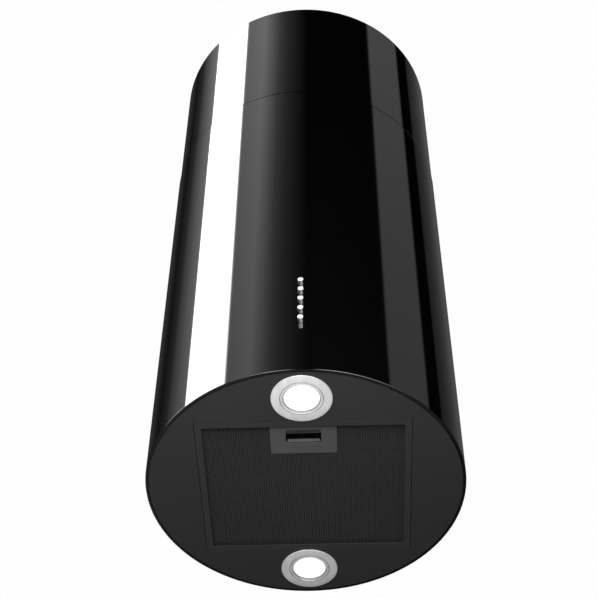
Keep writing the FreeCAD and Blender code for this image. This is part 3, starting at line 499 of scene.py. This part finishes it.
def turned(name, profile, sides):
    """A turned form about Z from points of (radius, height); radius 0 is a pole."""
    clear_selection()
    start = max(profile[0][0], POLE)
    bpy.ops.mesh.primitive_circle_add(vertices=sides, radius=start, location=(0, 0, profile[0][1]))
    piece = bpy.context.object
    piece.name = name
    apply_place(piece)
    open_mesh(piece)
    stack([(max(radius, POLE), max(radius, POLE), height) for radius, height in profile])
    return piece


def squared(name, levels, rounding, segments):
    """A rectangular ring with rounded corners from levels of (half width, half depth, height)."""
    clear_selection()
    bpy.ops.mesh.primitive_plane_add(size=2, location=(0, 0, levels[0][2]))
    piece = bpy.context.object
    piece.name = name
    piece.scale = (levels[0][0], levels[0][1], 1)
    apply_place(piece)
    open_mesh(piece)
    bpy.ops.mesh.bevel(offset=rounding, segments=segments, affect="VERTICES")
    bpy.ops.mesh.select_all(action="SELECT")
    bpy.ops.mesh.delete(type="ONLY_FACE")
    bpy.ops.mesh.select_all(action="SELECT")
    stack(levels)
    return piece


def prism(name, low, high, rounding=0.0, segments=6):
    """A solid block between two corners, its upright edges rounded."""
    clear_selection()
    centre = (Vector(low) + Vector(high)) / 2
    half = (Vector(high) - Vector(low)) / 2
    bpy.ops.mesh.primitive_plane_add(size=2, location=(centre.x, centre.y, low[2]))
    piece = bpy.context.object
    piece.name = name
    piece.scale = (half.x, half.y, 1)
    apply_place(piece)
    open_mesh(piece)
    if rounding:
        bpy.ops.mesh.bevel(offset=rounding, segments=segments, affect="VERTICES")
        bpy.ops.mesh.select_all(action="SELECT")
    bpy.ops.mesh.extrude_region_move(TRANSFORM_OT_translate={"value": (0, 0, high[2] - low[2])})
    bpy.ops.mesh.select_all(action="SELECT")
    bpy.ops.mesh.normals_make_consistent(inside=False)
    bpy.ops.object.mode_set(mode="OBJECT")
    return piece


def apply_place(piece):
    """Put the object's place, turn and scale into its mesh."""
    choose(piece)
    bpy.ops.object.transform_apply(location=True, rotation=True, scale=True)


def move(piece, spot, turn=(0, 0, 0)):
    """Turn a piece about the origin, move it and put both into its mesh."""
    piece.rotation_euler = turn
    piece.location = spot
    apply_place(piece)
    return piece


def cut(piece, *tools):
    """Take the tools' shapes out of a piece and delete them."""
    for tool in tools:
        choose(piece)
        work = piece.modifiers.new("cut", "BOOLEAN")
        work.operation = "DIFFERENCE"
        work.solver = "EXACT"
        work.object = tool
        bpy.ops.object.modifier_apply(modifier=work.name)
        bpy.data.objects.remove(tool, do_unlink=True)
    return piece


def soften(piece, width, segments=3):
    """Round a piece's sharp edges and shade it smooth between them."""
    choose(piece)
    if width:
        work = piece.modifiers.new("edge", "BEVEL")
        work.width = width
        work.segments = segments
        work.limit_method = "ANGLE"
        work.angle_limit = SHARP
        bpy.ops.object.modifier_apply(modifier=work.name)
    bpy.ops.object.shade_smooth_by_angle(angle=SHARP)
    if width:
        even = piece.modifiers.new("even", "WEIGHTED_NORMAL")
        even.keep_sharp = True
        even.weight = 100
        bpy.ops.object.modifier_apply(modifier=even.name)
    return piece


def join(name, pieces):
    """Make one piece of several."""
    choose(*pieces)
    bpy.ops.object.join()
    pieces[0].name = name
    return pieces[0]


def copy(piece, name, offset):
    """A copy of a piece with its own mesh, moved by an offset."""
    made = piece.copy()
    made.data = piece.data.copy()
    made.name = name
    bpy.context.collection.objects.link(made)
    return move(made, offset)


def hand_over(piece, body, finish, nodes):
    """Give a piece its finish, its moving body and the nodes it stands for."""
    piece.data.materials.clear()
    piece.data.materials.append(FINISHES[finish])
    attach(piece, body)
    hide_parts(*nodes)


def arc(centre, radius, start, end):
    """Points of a bend for a profile: angles in degrees, from +radius towards +height."""
    turns = [math.radians(start + (end - start) * step / ARC_STEPS) for step in range(ARC_STEPS + 1)]
    return [(centre[0] + radius * math.cos(turn), centre[1] + radius * math.sin(turn)) for turn in turns]


def wall_normals(piece, radius):
    """Give the wall at this radius the exact normals of a round tube, so that its gloss runs true."""
    mesh = piece.data
    wall = radius - 0.2 * MM
    normals = [Vector(corner.vector) for corner in mesh.corner_normals]
    for face in mesh.polygons:
        if abs(face.normal.z) > 0.01 or face.center.to_2d().length < wall:
            continue
        outward = face.normal.dot(Vector((face.center.x, face.center.y, 0))) > 0
        for corner in face.loop_indices:
            spot = mesh.vertices[mesh.loops[corner].vertex_index].co
            if outward and spot.to_2d().length > wall:
                normals[corner] = Vector((spot.x, spot.y, 0)).normalized()
    mesh.normals_split_custom_set(normals)


# ---- the pieces --------------------------------------------------------------------------------

class HOOD_OT_finishes(bpy.types.Operator):
    """Make every finish and give the engineering parts theirs"""
    bl_idname = "hood.finishes"
    bl_label = "Finishes"

    def execute(self, context):
        make_finishes()
        for name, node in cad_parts.items():
            keys = [key for key, starts in CAD_FINISHES.items()
                    if any(name == start or start.endswith("_") and name.startswith(start)
                           for start in starts)]
            if not keys:
                raise RuntimeError(f"no finish for {name}")
            for place in node.material_slots:
                place.material = FINISHES[keys[0]]
        return {"FINISHED"}


# The lower shell's chamfered top edge: millimetres in from the wall and down from the top.
TOP_EDGE = [(0.0, 2.6), (0.03, 2.6), (0.45, 0.05), (0.6, 0.0)]
SHELL_GAUGE = 0.6 * MM
SHELL_SIDES = 256
HEM_DEPTH = 4 * MM  # how far the hem turns in under the panel
HEM_FLAT = 3 * MM
BAND_MARGIN = 9 * MM  # plain wall above and below the button holes
BUTTON_PLAY = 0.3 * MM
SCREW_HOLE = 2 * MM
SCREW_DROP = 12 * MM  # from the top of the upper shell to its screws


def drill(radius, sides, spot, turn):
    """A long cylinder that cuts one hole through a shell's wall."""
    clear_selection()
    bpy.ops.mesh.primitive_cylinder_add(vertices=sides, radius=radius, depth=20 * MM, location=spot,
                                        rotation=(math.pi / 2, 0, turn))
    return bpy.context.object


class HOOD_OT_shells(bpy.types.Operator):
    """Model the two gloss shells, the lower one with its folded edge and button holes"""
    bl_idname = "hood.shells"
    bl_label = "Shells"

    def execute(self, context):
        self.lower(context.scene.hood_sizes.hem_round)
        self.upper()
        return {"FINISHED"}

    def lower(self, fold):
        low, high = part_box("lower_shell")
        outer = high.y
        bend = (outer - fold, low.z + fold)
        buttons = [middle(f"button_{number}").z for number in range(1, 6)]
        profile = ([(outer - HEM_DEPTH, low.z), (outer - HEM_FLAT, low.z)] + arc(bend, fold, -90, 0)
                   + [(outer, min(buttons) - BAND_MARGIN), (outer, max(buttons) + BAND_MARGIN)]
                   + [(outer - inward * MM, high.z - down * MM) for inward, down in TOP_EDGE]
                   + arc(bend, fold - SHELL_GAUGE, 0, -90)
                   + [(outer - HEM_DEPTH, low.z + SHELL_GAUGE), (outer - HEM_DEPTH, low.z)])
        shell = turned("lower_shell_skin", profile, SHELL_SIDES)
        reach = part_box("button_1")[1].x + BUTTON_PLAY
        soften(cut(shell, *[drill(reach, 48, (0, -outer, height), 0) for height in buttons]), 0)
        wall_normals(shell, outer)
        hand_over(shell, "hood", "shell", ["lower_shell"])

    def upper(self):
        low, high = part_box("upper_shell")
        outer = high.y
        shell = turned("upper_shell_skin", [
            (outer - SHELL_GAUGE, low.z), (outer, low.z), (outer, high.z - 2 * SCREW_DROP), (outer, high.z),
            (outer - SHELL_GAUGE, high.z), (outer - SHELL_GAUGE, low.z)], SHELL_SIDES)
        tools = []
        for side in (-1, 1):
            spot = Vector((side, 1, 0)).normalized() * outer
            tools.append(drill(SCREW_HOLE, 32, (spot.x, spot.y, high.z - SCREW_DROP), -side * math.pi / 4))
        soften(cut(shell, *tools), 0)
        wall_normals(shell, outer)
        hand_over(shell, "ceiling_mount", "shell", ["upper_shell"])


PANEL_GAUGE = 1 * MM
PANEL_BEND = 1.2 * MM
PANEL_CORE = 60 * MM  # radius where the turned panel starts, inside the filter opening
FILTER_PLAY = 0.6 * MM
LAMP_HOLE = 30.6 * MM


class HOOD_OT_panel(bpy.types.Operator):
    """Model the underside panel with its filter opening and lamp holes"""
    bl_idname = "hood.panel"
    bl_label = "Underside panel"

    def execute(self, context):
        low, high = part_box("base_panel")
        outer = high.y
        bend = (outer - PANEL_BEND, low.z + PANEL_BEND)
        panel = turned("underside_panel", [
            (PANEL_CORE, low.z)] + arc(bend, PANEL_BEND, -90, 0)
            + [(outer, high.z), (outer - PANEL_GAUGE, high.z)] + arc(bend, PANEL_BEND - PANEL_GAUGE, 0, -90)
            + [(PANEL_CORE, low.z + PANEL_GAUGE), (PANEL_CORE, low.z)], SHELL_SIDES)
        filter_low, filter_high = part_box("filter_frame")
        half = Vector((filter_high.x + FILTER_PLAY, abs(filter_low.y) + FILTER_PLAY, 0))
        under, over = low.z - 10 * MM, low.z + 8 * MM
        tools = [prism("opening", (-half.x, -half.y, under), (half.x, half.y, over), 2 * MM)]
        for end in ("front", "rear"):
            spot = middle(f"lamp_ring_{end}")
            hole = turned("hole", [(0, under), (LAMP_HOLE, under), (LAMP_HOLE, over), (0, over)], 96)
            tools.append(move(hole, (spot.x, spot.y, 0)))
        cut(panel, *tools)
        soften(panel, context.scene.hood_sizes.edge_round, 2)
        hand_over(panel, "hood", "panel", ["base_panel"])
        return {"FINISHED"}


CATCH_SLOT = 8.5 * MM  # half the width of the hole that the catch's nose passes through
TONGUE_SPREAD = 70 * MM
TONGUE_HALF = 10 * MM
LAYER_SHIFT = (0.27, 0.31)  # of each mesh layer against the last, as parts of an opening
TWIN_SHIFT = 0.35
TWIN_RISE = 1.1 * MM
PIT_HALF = 35 * MM  # the mesh stops short of the catch by this much on each side
PIT_BACK = 12 * MM
PLATE_GAUGE = 1 * MM
PLATE_EXTRA = 1.8 * MM  # how much deeper the finger plate is drawn than its box
GRIP_FRONT = 10.7 * MM  # the finger slot, from the plate's front edge
GRIP_DEPTH = 21 * MM
GRIP_HALF = 21 * MM
LIP_INSET = 1.6 * MM
LIP_LENGTH = 3.5 * MM
LIP_TURN = math.radians(138)
EAR_SPREAD = 28 * MM
EAR_HALF = 3 * MM
CATCH_EAR = 3.2 * MM  # from the catch's plate to the top of its ears
CATCH_NOSE = 8 * MM


class HOOD_OT_filter(bpy.types.Operator):
    """Model the filter's channel frame, its mesh pack, finger plate and catch"""
    bl_idname = "hood.filter"
    bl_label = "Grease filter"

    def execute(self, context):
        self.frame_channel()
        self.meshes(context.scene.hood_sizes)
        self.finger_plate()
        self.catch()
        return {"FINISHED"}

    def frame_channel(self):
        low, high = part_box("filter_frame")
        wide, deep = high.x, abs(low.y)
        band, end_band, gauge = 8 * MM, 9.25 * MM, 0.8 * MM
        bottom, top = low.z, high.z
        channel = squared("filter_channel", [
            (wide - band, deep - end_band, bottom), (wide, deep, bottom), (wide, deep, top),
            (wide - band, deep - end_band, top), (wide - band, deep - end_band, top - gauge),
            (wide - gauge, deep - gauge, top - gauge), (wide - gauge, deep - gauge, bottom + gauge),
            (wide - band, deep - end_band, bottom + gauge), (wide - band, deep - end_band, bottom)],
            1.6 * MM, 3)
        cut(channel, prism("slot", (-CATCH_SLOT, -deep - MM, bottom + 0.9 * MM),
                           (CATCH_SLOT, -deep + 1.5 * MM, bottom + 2.5 * MM)))
        tongues = [prism("tongue", (side * TONGUE_SPREAD - TONGUE_HALF, deep - gauge, bottom + 1.3 * MM),
                         (side * TONGUE_SPREAD + TONGUE_HALF, high.y, bottom + 2.3 * MM))
                   for side in (-1, 1)]
        soften(join("filter_channel", [channel] + tongues), 0.3 * MM, 3)
        hand_over(channel, "filter", "filter", ["filter_frame"])

    def meshes(self, sizes):
        tile = self.opening(sizes)
        for number, layer in enumerate(("front", "core", "back")):
            node = f"filter_mesh_{layer}"
            low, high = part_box(node)
            sheet = self.lattice(tile, sizes, (low, high), f"filter_strands_{layer}",
                                 sizes.mesh_long * LAYER_SHIFT[0] * number,
                                 sizes.mesh_short * LAYER_SHIFT[1] * number)
            move(sheet, (0, 0, high.z if layer == "back" else low.z))
            if layer == "core":
                twin = copy(sheet, "filter_strands_twin", (sizes.mesh_long * TWIN_SHIFT, 0, TWIN_RISE))
                join(sheet.name, [sheet, twin])
            bpy.ops.object.shade_flat()
            # the core and back layers take the near-black finish, which is painted shade
            finish = "strand" if layer == "front" else "deep"
            hand_over(sheet, "filter", finish, [node])
        bpy.data.objects.remove(tile, do_unlink=True)

    def opening(self, sizes):
        """One diamond of expanded metal, with its middle open and its knuckles raised."""
        clear_selection()
        bpy.ops.mesh.primitive_circle_add(vertices=4, radius=1, fill_type="NGON")
        tile = bpy.context.object
        tile.scale = (sizes.mesh_long / 2, sizes.mesh_short / 2, 1)
        apply_place(tile)
        bpy.ops.object.mode_set(mode="EDIT")
        bpy.ops.mesh.select_mode(type="FACE")
        bpy.ops.mesh.select_all(action="SELECT")
        bpy.ops.mesh.inset(thickness=sizes.strand / 2, depth=0)
        bpy.ops.mesh.extrude_region_move(TRANSFORM_OT_translate={"value": (0, 0, sizes.mesh_relief)})
        bpy.ops.mesh.delete(type="FACE")
        bpy.ops.object.mode_set(mode="OBJECT")
        return tile

    def lattice(self, tile, sizes, box, name, slide_x, slide_y):
        """Rows and half-stepped rows of diamonds over the sheet, left out round the catch."""
        low, high = box
        reach = Vector((sizes.mesh_long, sizes.mesh_short, 0)) / 2
        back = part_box("filter_handle")[1].y - PIT_BACK
        left, right = low.x + reach.x, high.x - reach.x
        front, rear = low.y + reach.y, high.y - reach.y
        sheets = []
        for area in ((left, right, back, rear), (left, -PIT_HALF, front, back),
                     (PIT_HALF, right, front, back)):
            for half in (0, 0.5):
                columns = self.steps(area[0], area[1], sizes.mesh_long, half, slide_x)
                rows = self.steps(area[2], area[3], sizes.mesh_short, half, slide_y)
                sheet = copy(tile, name, (columns[0], rows[0], 0))
                choose(sheet)
                self.repeat(sheet, len(columns), (sizes.mesh_long, 0, 0))
                self.repeat(sheet, len(rows), (0, sizes.mesh_short, 0))
                sheets.append(sheet)
        return join(name, sheets)

    def repeat(self, sheet, count, step):
        """Repeat the chosen piece in one direction."""
        row = sheet.modifiers.new("repeat", "ARRAY")
        row.count = count
        row.use_relative_offset = False
        row.use_constant_offset = True
        row.constant_offset_displace = step
        bpy.ops.object.modifier_apply(modifier=row.name)

    def steps(self, start, end, pitch, half, slide):
        """Places on the common grid from start up to end."""
        first = math.ceil((start - slide) / pitch - half - 1e-6)
        last = math.ceil((end - slide) / pitch - half - 1e-6)
        return [(index + half) * pitch + slide for index in range(first, last)]

    def finger_plate(self):
        low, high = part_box("filter_handle")
        plate = prism("filter_finger_plate", (low.x, low.y, low.z),
                      (high.x, high.y + PLATE_EXTRA, low.z + PLATE_GAUGE), 1.2 * MM, 4)
        front = low.y + GRIP_FRONT
        back = front + GRIP_DEPTH
        slot = prism("slot", (-GRIP_HALF, front, low.z - MM), (GRIP_HALF, back, low.z + 3 * MM), 4.5 * MM, 8)
        soften(cut(plate, slot), 0.35 * MM, 3)
        lip_end = GRIP_HALF - LIP_INSET
        lip = prism("lip", (-lip_end, 0, 0), (lip_end, LIP_LENGTH, 0.8 * MM), 1.7 * MM, 6)
        soften(lip, 0.2 * MM, 2)
        move(lip, (0, back - 1.3 * MM, low.z + 0.7 * MM), (LIP_TURN, 0, 0))
        ears = self.ears("ear", front + 17 * MM, front + 18 * MM, low.z + PLATE_GAUGE, high.z)
        for ear in ears:
            soften(ear, 0.2 * MM, 2)
        join("filter_finger_plate", [plate, lip] + ears)
        hand_over(plate, "filter", "plate", ["filter_handle"])

    def ears(self, name, front, back, under, over):
        """The two upright tabs that hold the ends of the catch's springs."""
        return [prism(name, (side * EAR_SPREAD - EAR_HALF, front, under),
                      (side * EAR_SPREAD + EAR_HALF, back, over)) for side in (-1, 1)]

    def catch(self):
        low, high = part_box("filter_latch")
        level = high.z - CATCH_EAR
        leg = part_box("filter_frame")[0].y + MM
        blocks = [
            prism("catch", (low.x, leg, level), (high.x, high.y, level + MM), 1 * MM, 3),
            prism("catch", (-CATCH_NOSE, leg, low.z), (CATCH_NOSE, leg + MM, level + 0.2 * MM)),
            prism("catch", (-CATCH_NOSE, low.y, low.z), (CATCH_NOSE, leg + MM, low.z + MM), 0.6 * MM, 3)]
        blocks += self.ears("catch", high.y - MM, high.y, level + 0.5 * MM, high.z)
        for block in blocks:
            soften(block, 0.2 * MM, 2)
        catch = join("filter_catch", blocks)
        hand_over(catch, "latch", "catch", ["filter_latch"])


# Faces of a lamp's trim ring and crown of its lens: millimetres out from the axis, then up from the ring's
# lower face or down from the lens's.
RING_FACE = [(21.5, 2.9), (21.5, 0.7), (22.0, 0.15), (22.6, 0.0), (22.9, 0.0), (23.05, 0.18), (23.35, 0.18),
             (23.5, 0.0), (24.75, 0.0), (24.9, 0.5), (25.5, 0.5), (25.65, 0.0)]
LENS_CROWN = [(0, 0.15), (8, 0.13), (15, 0.08)]
RING_EXTRA = 0.9 * MM  # how much wider the ring is drawn than its box
RING_ROUND = 0.4 * MM
RING_FLANGE = 1.4 * MM
RING_TUBE = 30 * MM


class HOOD_OT_lamps(bpy.types.Operator):
    """Model the two lamps' trim rings and frosted lenses"""
    bl_idname = "hood.lamps"
    bl_label = "Lamps"

    def execute(self, context):
        for end in ("front", "rear"):
            low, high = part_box(f"lamp_ring_{end}")
            spot = middle(f"lamp_ring_{end}")
            outer = high.x + RING_EXTRA
            base = low.z
            face = [(radius * MM, base + rise * MM) for radius, rise in RING_FACE]
            bore, inner = face[0][0], RING_TUBE - MM
            ring = turned(f"lamp_trim_{end}", face + arc((outer - RING_ROUND, base + RING_ROUND), RING_ROUND,
                                                         -90, 0)
                          + [(outer, base + RING_FLANGE), (RING_TUBE, base + RING_FLANGE),
                             (RING_TUBE, high.z), (inner, high.z), (inner, base + 4 * MM),
                             (bore, base + 4 * MM), face[0]], 128)
            soften(move(ring, (spot.x, spot.y, 0)), 0)
            hand_over(ring, "hood", f"ring_{end}", [f"lamp_ring_{end}"])
            low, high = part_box(f"lamp_lens_{end}")
            reach = high.x - spot.x
            crown = [(radius * MM, low.z - drop * MM) for radius, drop in LENS_CROWN]
            lens = turned(f"lamp_glass_{end}", crown + [
                (reach - 0.4 * MM, low.z), (reach, low.z + 0.35 * MM), (reach, high.z), (0, high.z)], 96)
            soften(move(lens, (spot.x, spot.y, 0)), 0)
            hand_over(lens, "hood", f"lens_{end}", [f"lamp_lens_{end}"])
        return {"FINISHED"}


# The slight crown of a button's end: millimetres out from its axis and in from its end face.
BUTTON_CROWN = [(0, 0.45), (0.55, 0.25), (1.0, 0.06), (1.5, 0.0)]
BUTTON_SLIM = 0.35 * MM  # how much slimmer the button is drawn than its box
BUTTON_ROOT = 186.8 * MM  # from the hood's axis to where the barrel narrows to its stem
BUTTON_STEM = 1.6 * MM


class HOOD_OT_buttons(bpy.types.Operator):
    """Model the five plated push buttons"""
    bl_idname = "hood.buttons"
    bl_label = "Buttons"

    def execute(self, context):
        low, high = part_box("button_1")
        reach = high.x - BUTTON_SLIM
        face, stem_end = -low.y, -high.y
        profile = [(radius * MM, face - drop * MM) for radius, drop in BUTTON_CROWN]
        profile += [(reach - 0.55 * MM, face)]
        profile += arc((reach - 0.5 * MM, face - 0.5 * MM), 0.5 * MM, 85, 0)
        profile += [(reach, BUTTON_ROOT), (BUTTON_STEM, BUTTON_ROOT), (BUTTON_STEM, stem_end), (0, stem_end)]
        master = turned("push_button", profile, 64)
        move(master, (0, 0, 0), (math.pi / 2, 0, 0))
        soften(master, 0)
        for number in range(1, 6):
            spot = middle(f"button_{number}")
            made = copy(master, f"push_button_{number}", (0, 0, spot.z))
            hand_over(made, f"button_{number}", "chrome", [f"button_{number}"])
        bpy.data.objects.remove(master, do_unlink=True)
        return {"FINISHED"}


# ---- the stage ---------------------------------------------------------------------------------

class HOOD_OT_stage(bpy.types.Operator):
    """Set up the floor, studio light, backdrop and camera"""
    bl_idname = "hood.stage"
    bl_label = "Stage"

    def execute(self, context):
        self.floor(context)
        self.studio()
        self.camera(context)
        return {"FINISHED"}

    def floor(self, context):
        drop = context.scene.hood_sizes.floor_drop
        clear_selection()
        bpy.ops.mesh.primitive_grid_add(x_subdivisions=4, y_subdivisions=4, size=FLOOR_SIZE,
                                        location=(0, 0, CAD_BOX[0].z - drop))
        ground = bpy.context.object
        ground.name = "floor"
        apply_place(ground)
        made, graph = material("pale_floor")
        cloud = graph.noise(graph.place(), 3.0)
        graph.finish({"Base Color": graph.mix(cloud, (0.80, 0.80, 0.80, 1), (0.84, 0.84, 0.84, 1)),
                      "Roughness": 0.7})
        ground.data.materials.append(made)
        ground.visible_glossy = False

    def studio(self):
        """A white backdrop for the eye, strips of light for gloss, and even light for the rest."""
        world = bpy.data.worlds.new("studio")
        bpy.context.scene.world = world
        world.use_nodes = True
        graph = Graph(world.node_tree)
        direction = graph.add("ShaderNodeTexCoord", output="Generated")
        east, north, up = (graph.part(direction, axis) for axis in "XYZ")
        bearing = graph.add("ShaderNodeMath", {"operation": "ARCTAN2"}, {0: east, 1: north * -1})
        turn = bearing / math.tau + 0.5
        rise = up * 0.5 + 0.5
        boxes = graph.light(graph.ramp(turn, STRIPS), graph.ramp(rise, HEIGHTS) * STRIP_POWER)
        band = graph.light(graph.ramp(turn, SKIRTING), graph.ramp(rise, LOW_BAND) * BAND_POWER)
        ground = graph.light(graph.ramp(rise, FLOOR_SHEEN), 1.0)
        above = graph.add("ShaderNodeAddShader", {}, {0: boxes, 1: band})
        gloss = graph.add("ShaderNodeAddShader", {}, {0: above, 1: ground})
        even = graph.light((1, 1, 1, 1), EVEN_LIGHT)
        plain = graph.light((0.99, 0.99, 0.99, 1), 1.0)
        shine = graph.add("ShaderNodeLightPath", output="Is Glossy Ray")
        eye = graph.add("ShaderNodeLightPath", output="Is Camera Ray")
        lit = graph.add("ShaderNodeMixShader", {}, {0: shine, 1: even, 2: gloss})
        seen = graph.add("ShaderNodeMixShader", {}, {0: eye, 1: lit, 2: plain})
        graph.add("ShaderNodeOutputWorld", {}, {"Surface": seen})
        bpy.context.scene.view_settings.view_transform = "Standard"
        bpy.context.scene.view_settings.look = "None"
        self.softbox("overhead_softbox", (0, -0.2, CAD_BOX[1].z + 0.6), (0, 0, 0), 2.2, OVERHEAD_POWER)
        self.softbox("front_softbox", (-0.1, -0.85, CAD_BOX[0].z - 0.34), (math.radians(115), 0, 0), 0.5,
                     FRONT_POWER)

    def softbox(self, name, spot, turn, size, power):
        """A square soft light that lights surfaces but isn't mirrored in them."""
        clear_selection()
        bpy.ops.object.light_add(type="AREA", location=spot, rotation=turn)
        lamp = bpy.context.object
        lamp.name = name
        lamp.data.size = size
        lamp.data.energy = power
        lamp.visible_glossy = False
        lamp.visible_camera = False

    def camera(self, context):
        lens = bpy.data.cameras.new("view")
        lens.lens = VIEW_LENS
        lens.sensor_width = VIEW_SENSOR
        eye = bpy.data.objects.new("view", lens)
        context.scene.collection.objects.link(eye)
        yaw, pitch, roll = (math.radians(angle) for angle in VIEW_TURN)
        forward = Vector((math.sin(yaw) * math.cos(pitch), math.cos(yaw) * math.cos(pitch),
                          math.sin(pitch)))
        right = forward.cross(Vector((0, 0, 1))).normalized()
        up = right.cross(forward)
        across = right * math.cos(roll) + up * math.sin(roll)
        upward = up * math.cos(roll) - right * math.sin(roll)
        turn = Matrix((across, upward, -forward)).transposed().to_4x4()
        spot = Vector(VIEW_SPOT) + Vector((0, 0, CAD_BOX[0].z))
        eye.matrix_world = Matrix.Translation(spot) @ turn
        context.scene.camera = eye


def bearings(levels):
    """Ramp stops from pairs of bearing in degrees and brightness."""
    return [((degrees + 180) / 360, level) for degrees, level in levels]


def heights(levels):
    """Ramp stops from pairs of elevation in degrees and brightness."""
    return [(0.5 + 0.5 * math.sin(math.radians(degrees)), level) for degrees, level in levels]


FLOOR_SIZE = 16
VIEW_LENS = 87.78
VIEW_SENSOR = 36
VIEW_TURN = (-2.338, 50.515, 0.428)  # yaw, pitch and roll in degrees
VIEW_SPOT = (0.0433, -1.3047, -1.222)  # from the middle of the hood's lower end

# How bright each light is, then what gloss mirrors: levels by height, and levels all round by bearing.
STRIP_POWER = 16.0
BAND_POWER = 8.0
EVEN_LIGHT = 0.5
OVERHEAD_POWER = 30.0
FRONT_POWER = 33.0
FLOOR_SHEEN = heights([(-80, 0.2), (-48, 0.18), (-45.5, 0.03), (-30, 0.01), (-5, 0.0)])
HEIGHTS = heights([(0, 0.0), (4, 0.4), (33, 0.4), (37, 1.0), (61.5, 1.0), (65, 0.02)])
LOW_BAND = heights([(-70, 0.0), (-55, 1.0), (6, 1.0), (18, 0.0)])
SKIRTING = bearings([(-180, 0.006), (-172, 0.008), (-168, 0.03), (-145, 0.03), (-130, 0.01), (-75, 0.01),
                     (-50, 0.03), (-38, 0.3), (-20, 1.0), (-9, 0.4), (-6, 0.0), (6, 0.0), (9, 0.4), (20, 1.0),
                     (50, 0.5), (75, 0.01), (180, 0.006)])
STRIPS = bearings([
    (-180, 0.001), (-165, 0.002), (-150, 0.003), (-133, 0.001), (-121, 0.004), (-111, 0.018),
    (-103, 0.035), (-97, 0.05), (-96, 1.0), (-60, 1.0), (-59, 0.054), (-40, 0.08), (-30, 0.044),
    (-25, 0.025), (-17, 0.012), (-7, 0.005), (2, 0.0), (62, 0.0), (65.5, 0.001), (66.5, 0.027),
    (102, 0.016), (103.5, 0.0), (118, 0.0), (119.5, 0.0035), (135, 0.006), (150, 0.0085), (165, 0.006)])


# ---- panel, registration and run ---------------------------------------------------------------

STEPS = (HOOD_OT_finishes, HOOD_OT_shells, HOOD_OT_panel, HOOD_OT_filter, HOOD_OT_lamps, HOOD_OT_buttons,
         HOOD_OT_stage)


class HOOD_PT_build(bpy.types.Panel):
    """Sidebar panel that lists the hood's sizes, colours and building steps"""
    bl_idname = "HOOD_PT_build"
    bl_label = "Tube Range Hood"
    bl_space_type = "VIEW_3D"
    bl_region_type = "UI"
    bl_category = "Range Hood"

    def draw(self, context):
        for group in (context.scene.hood_sizes, context.scene.hood_colours):
            for name in group.__annotations__:
                self.layout.prop(group, name)
        for step in STEPS:
            self.layout.operator(step.bl_idname)


def register():
    for kind in (HoodSizes, HoodColours, HOOD_PT_build) + STEPS:
        bpy.utils.register_class(kind)
    bpy.types.Scene.hood_sizes = bpy.props.PointerProperty(type=HoodSizes)
    bpy.types.Scene.hood_colours = bpy.props.PointerProperty(type=HoodColours)


def unregister():
    del bpy.types.Scene.hood_colours
    del bpy.types.Scene.hood_sizes
    for kind in reversed((HoodSizes, HoodColours, HOOD_PT_build) + STEPS):
        bpy.utils.unregister_class(kind)


def main():
    register()
    for step in STEPS:
        group, name = step.bl_idname.split(".")
        getattr(getattr(bpy.ops, group), name)()


if __name__ == "__main__":
    main()
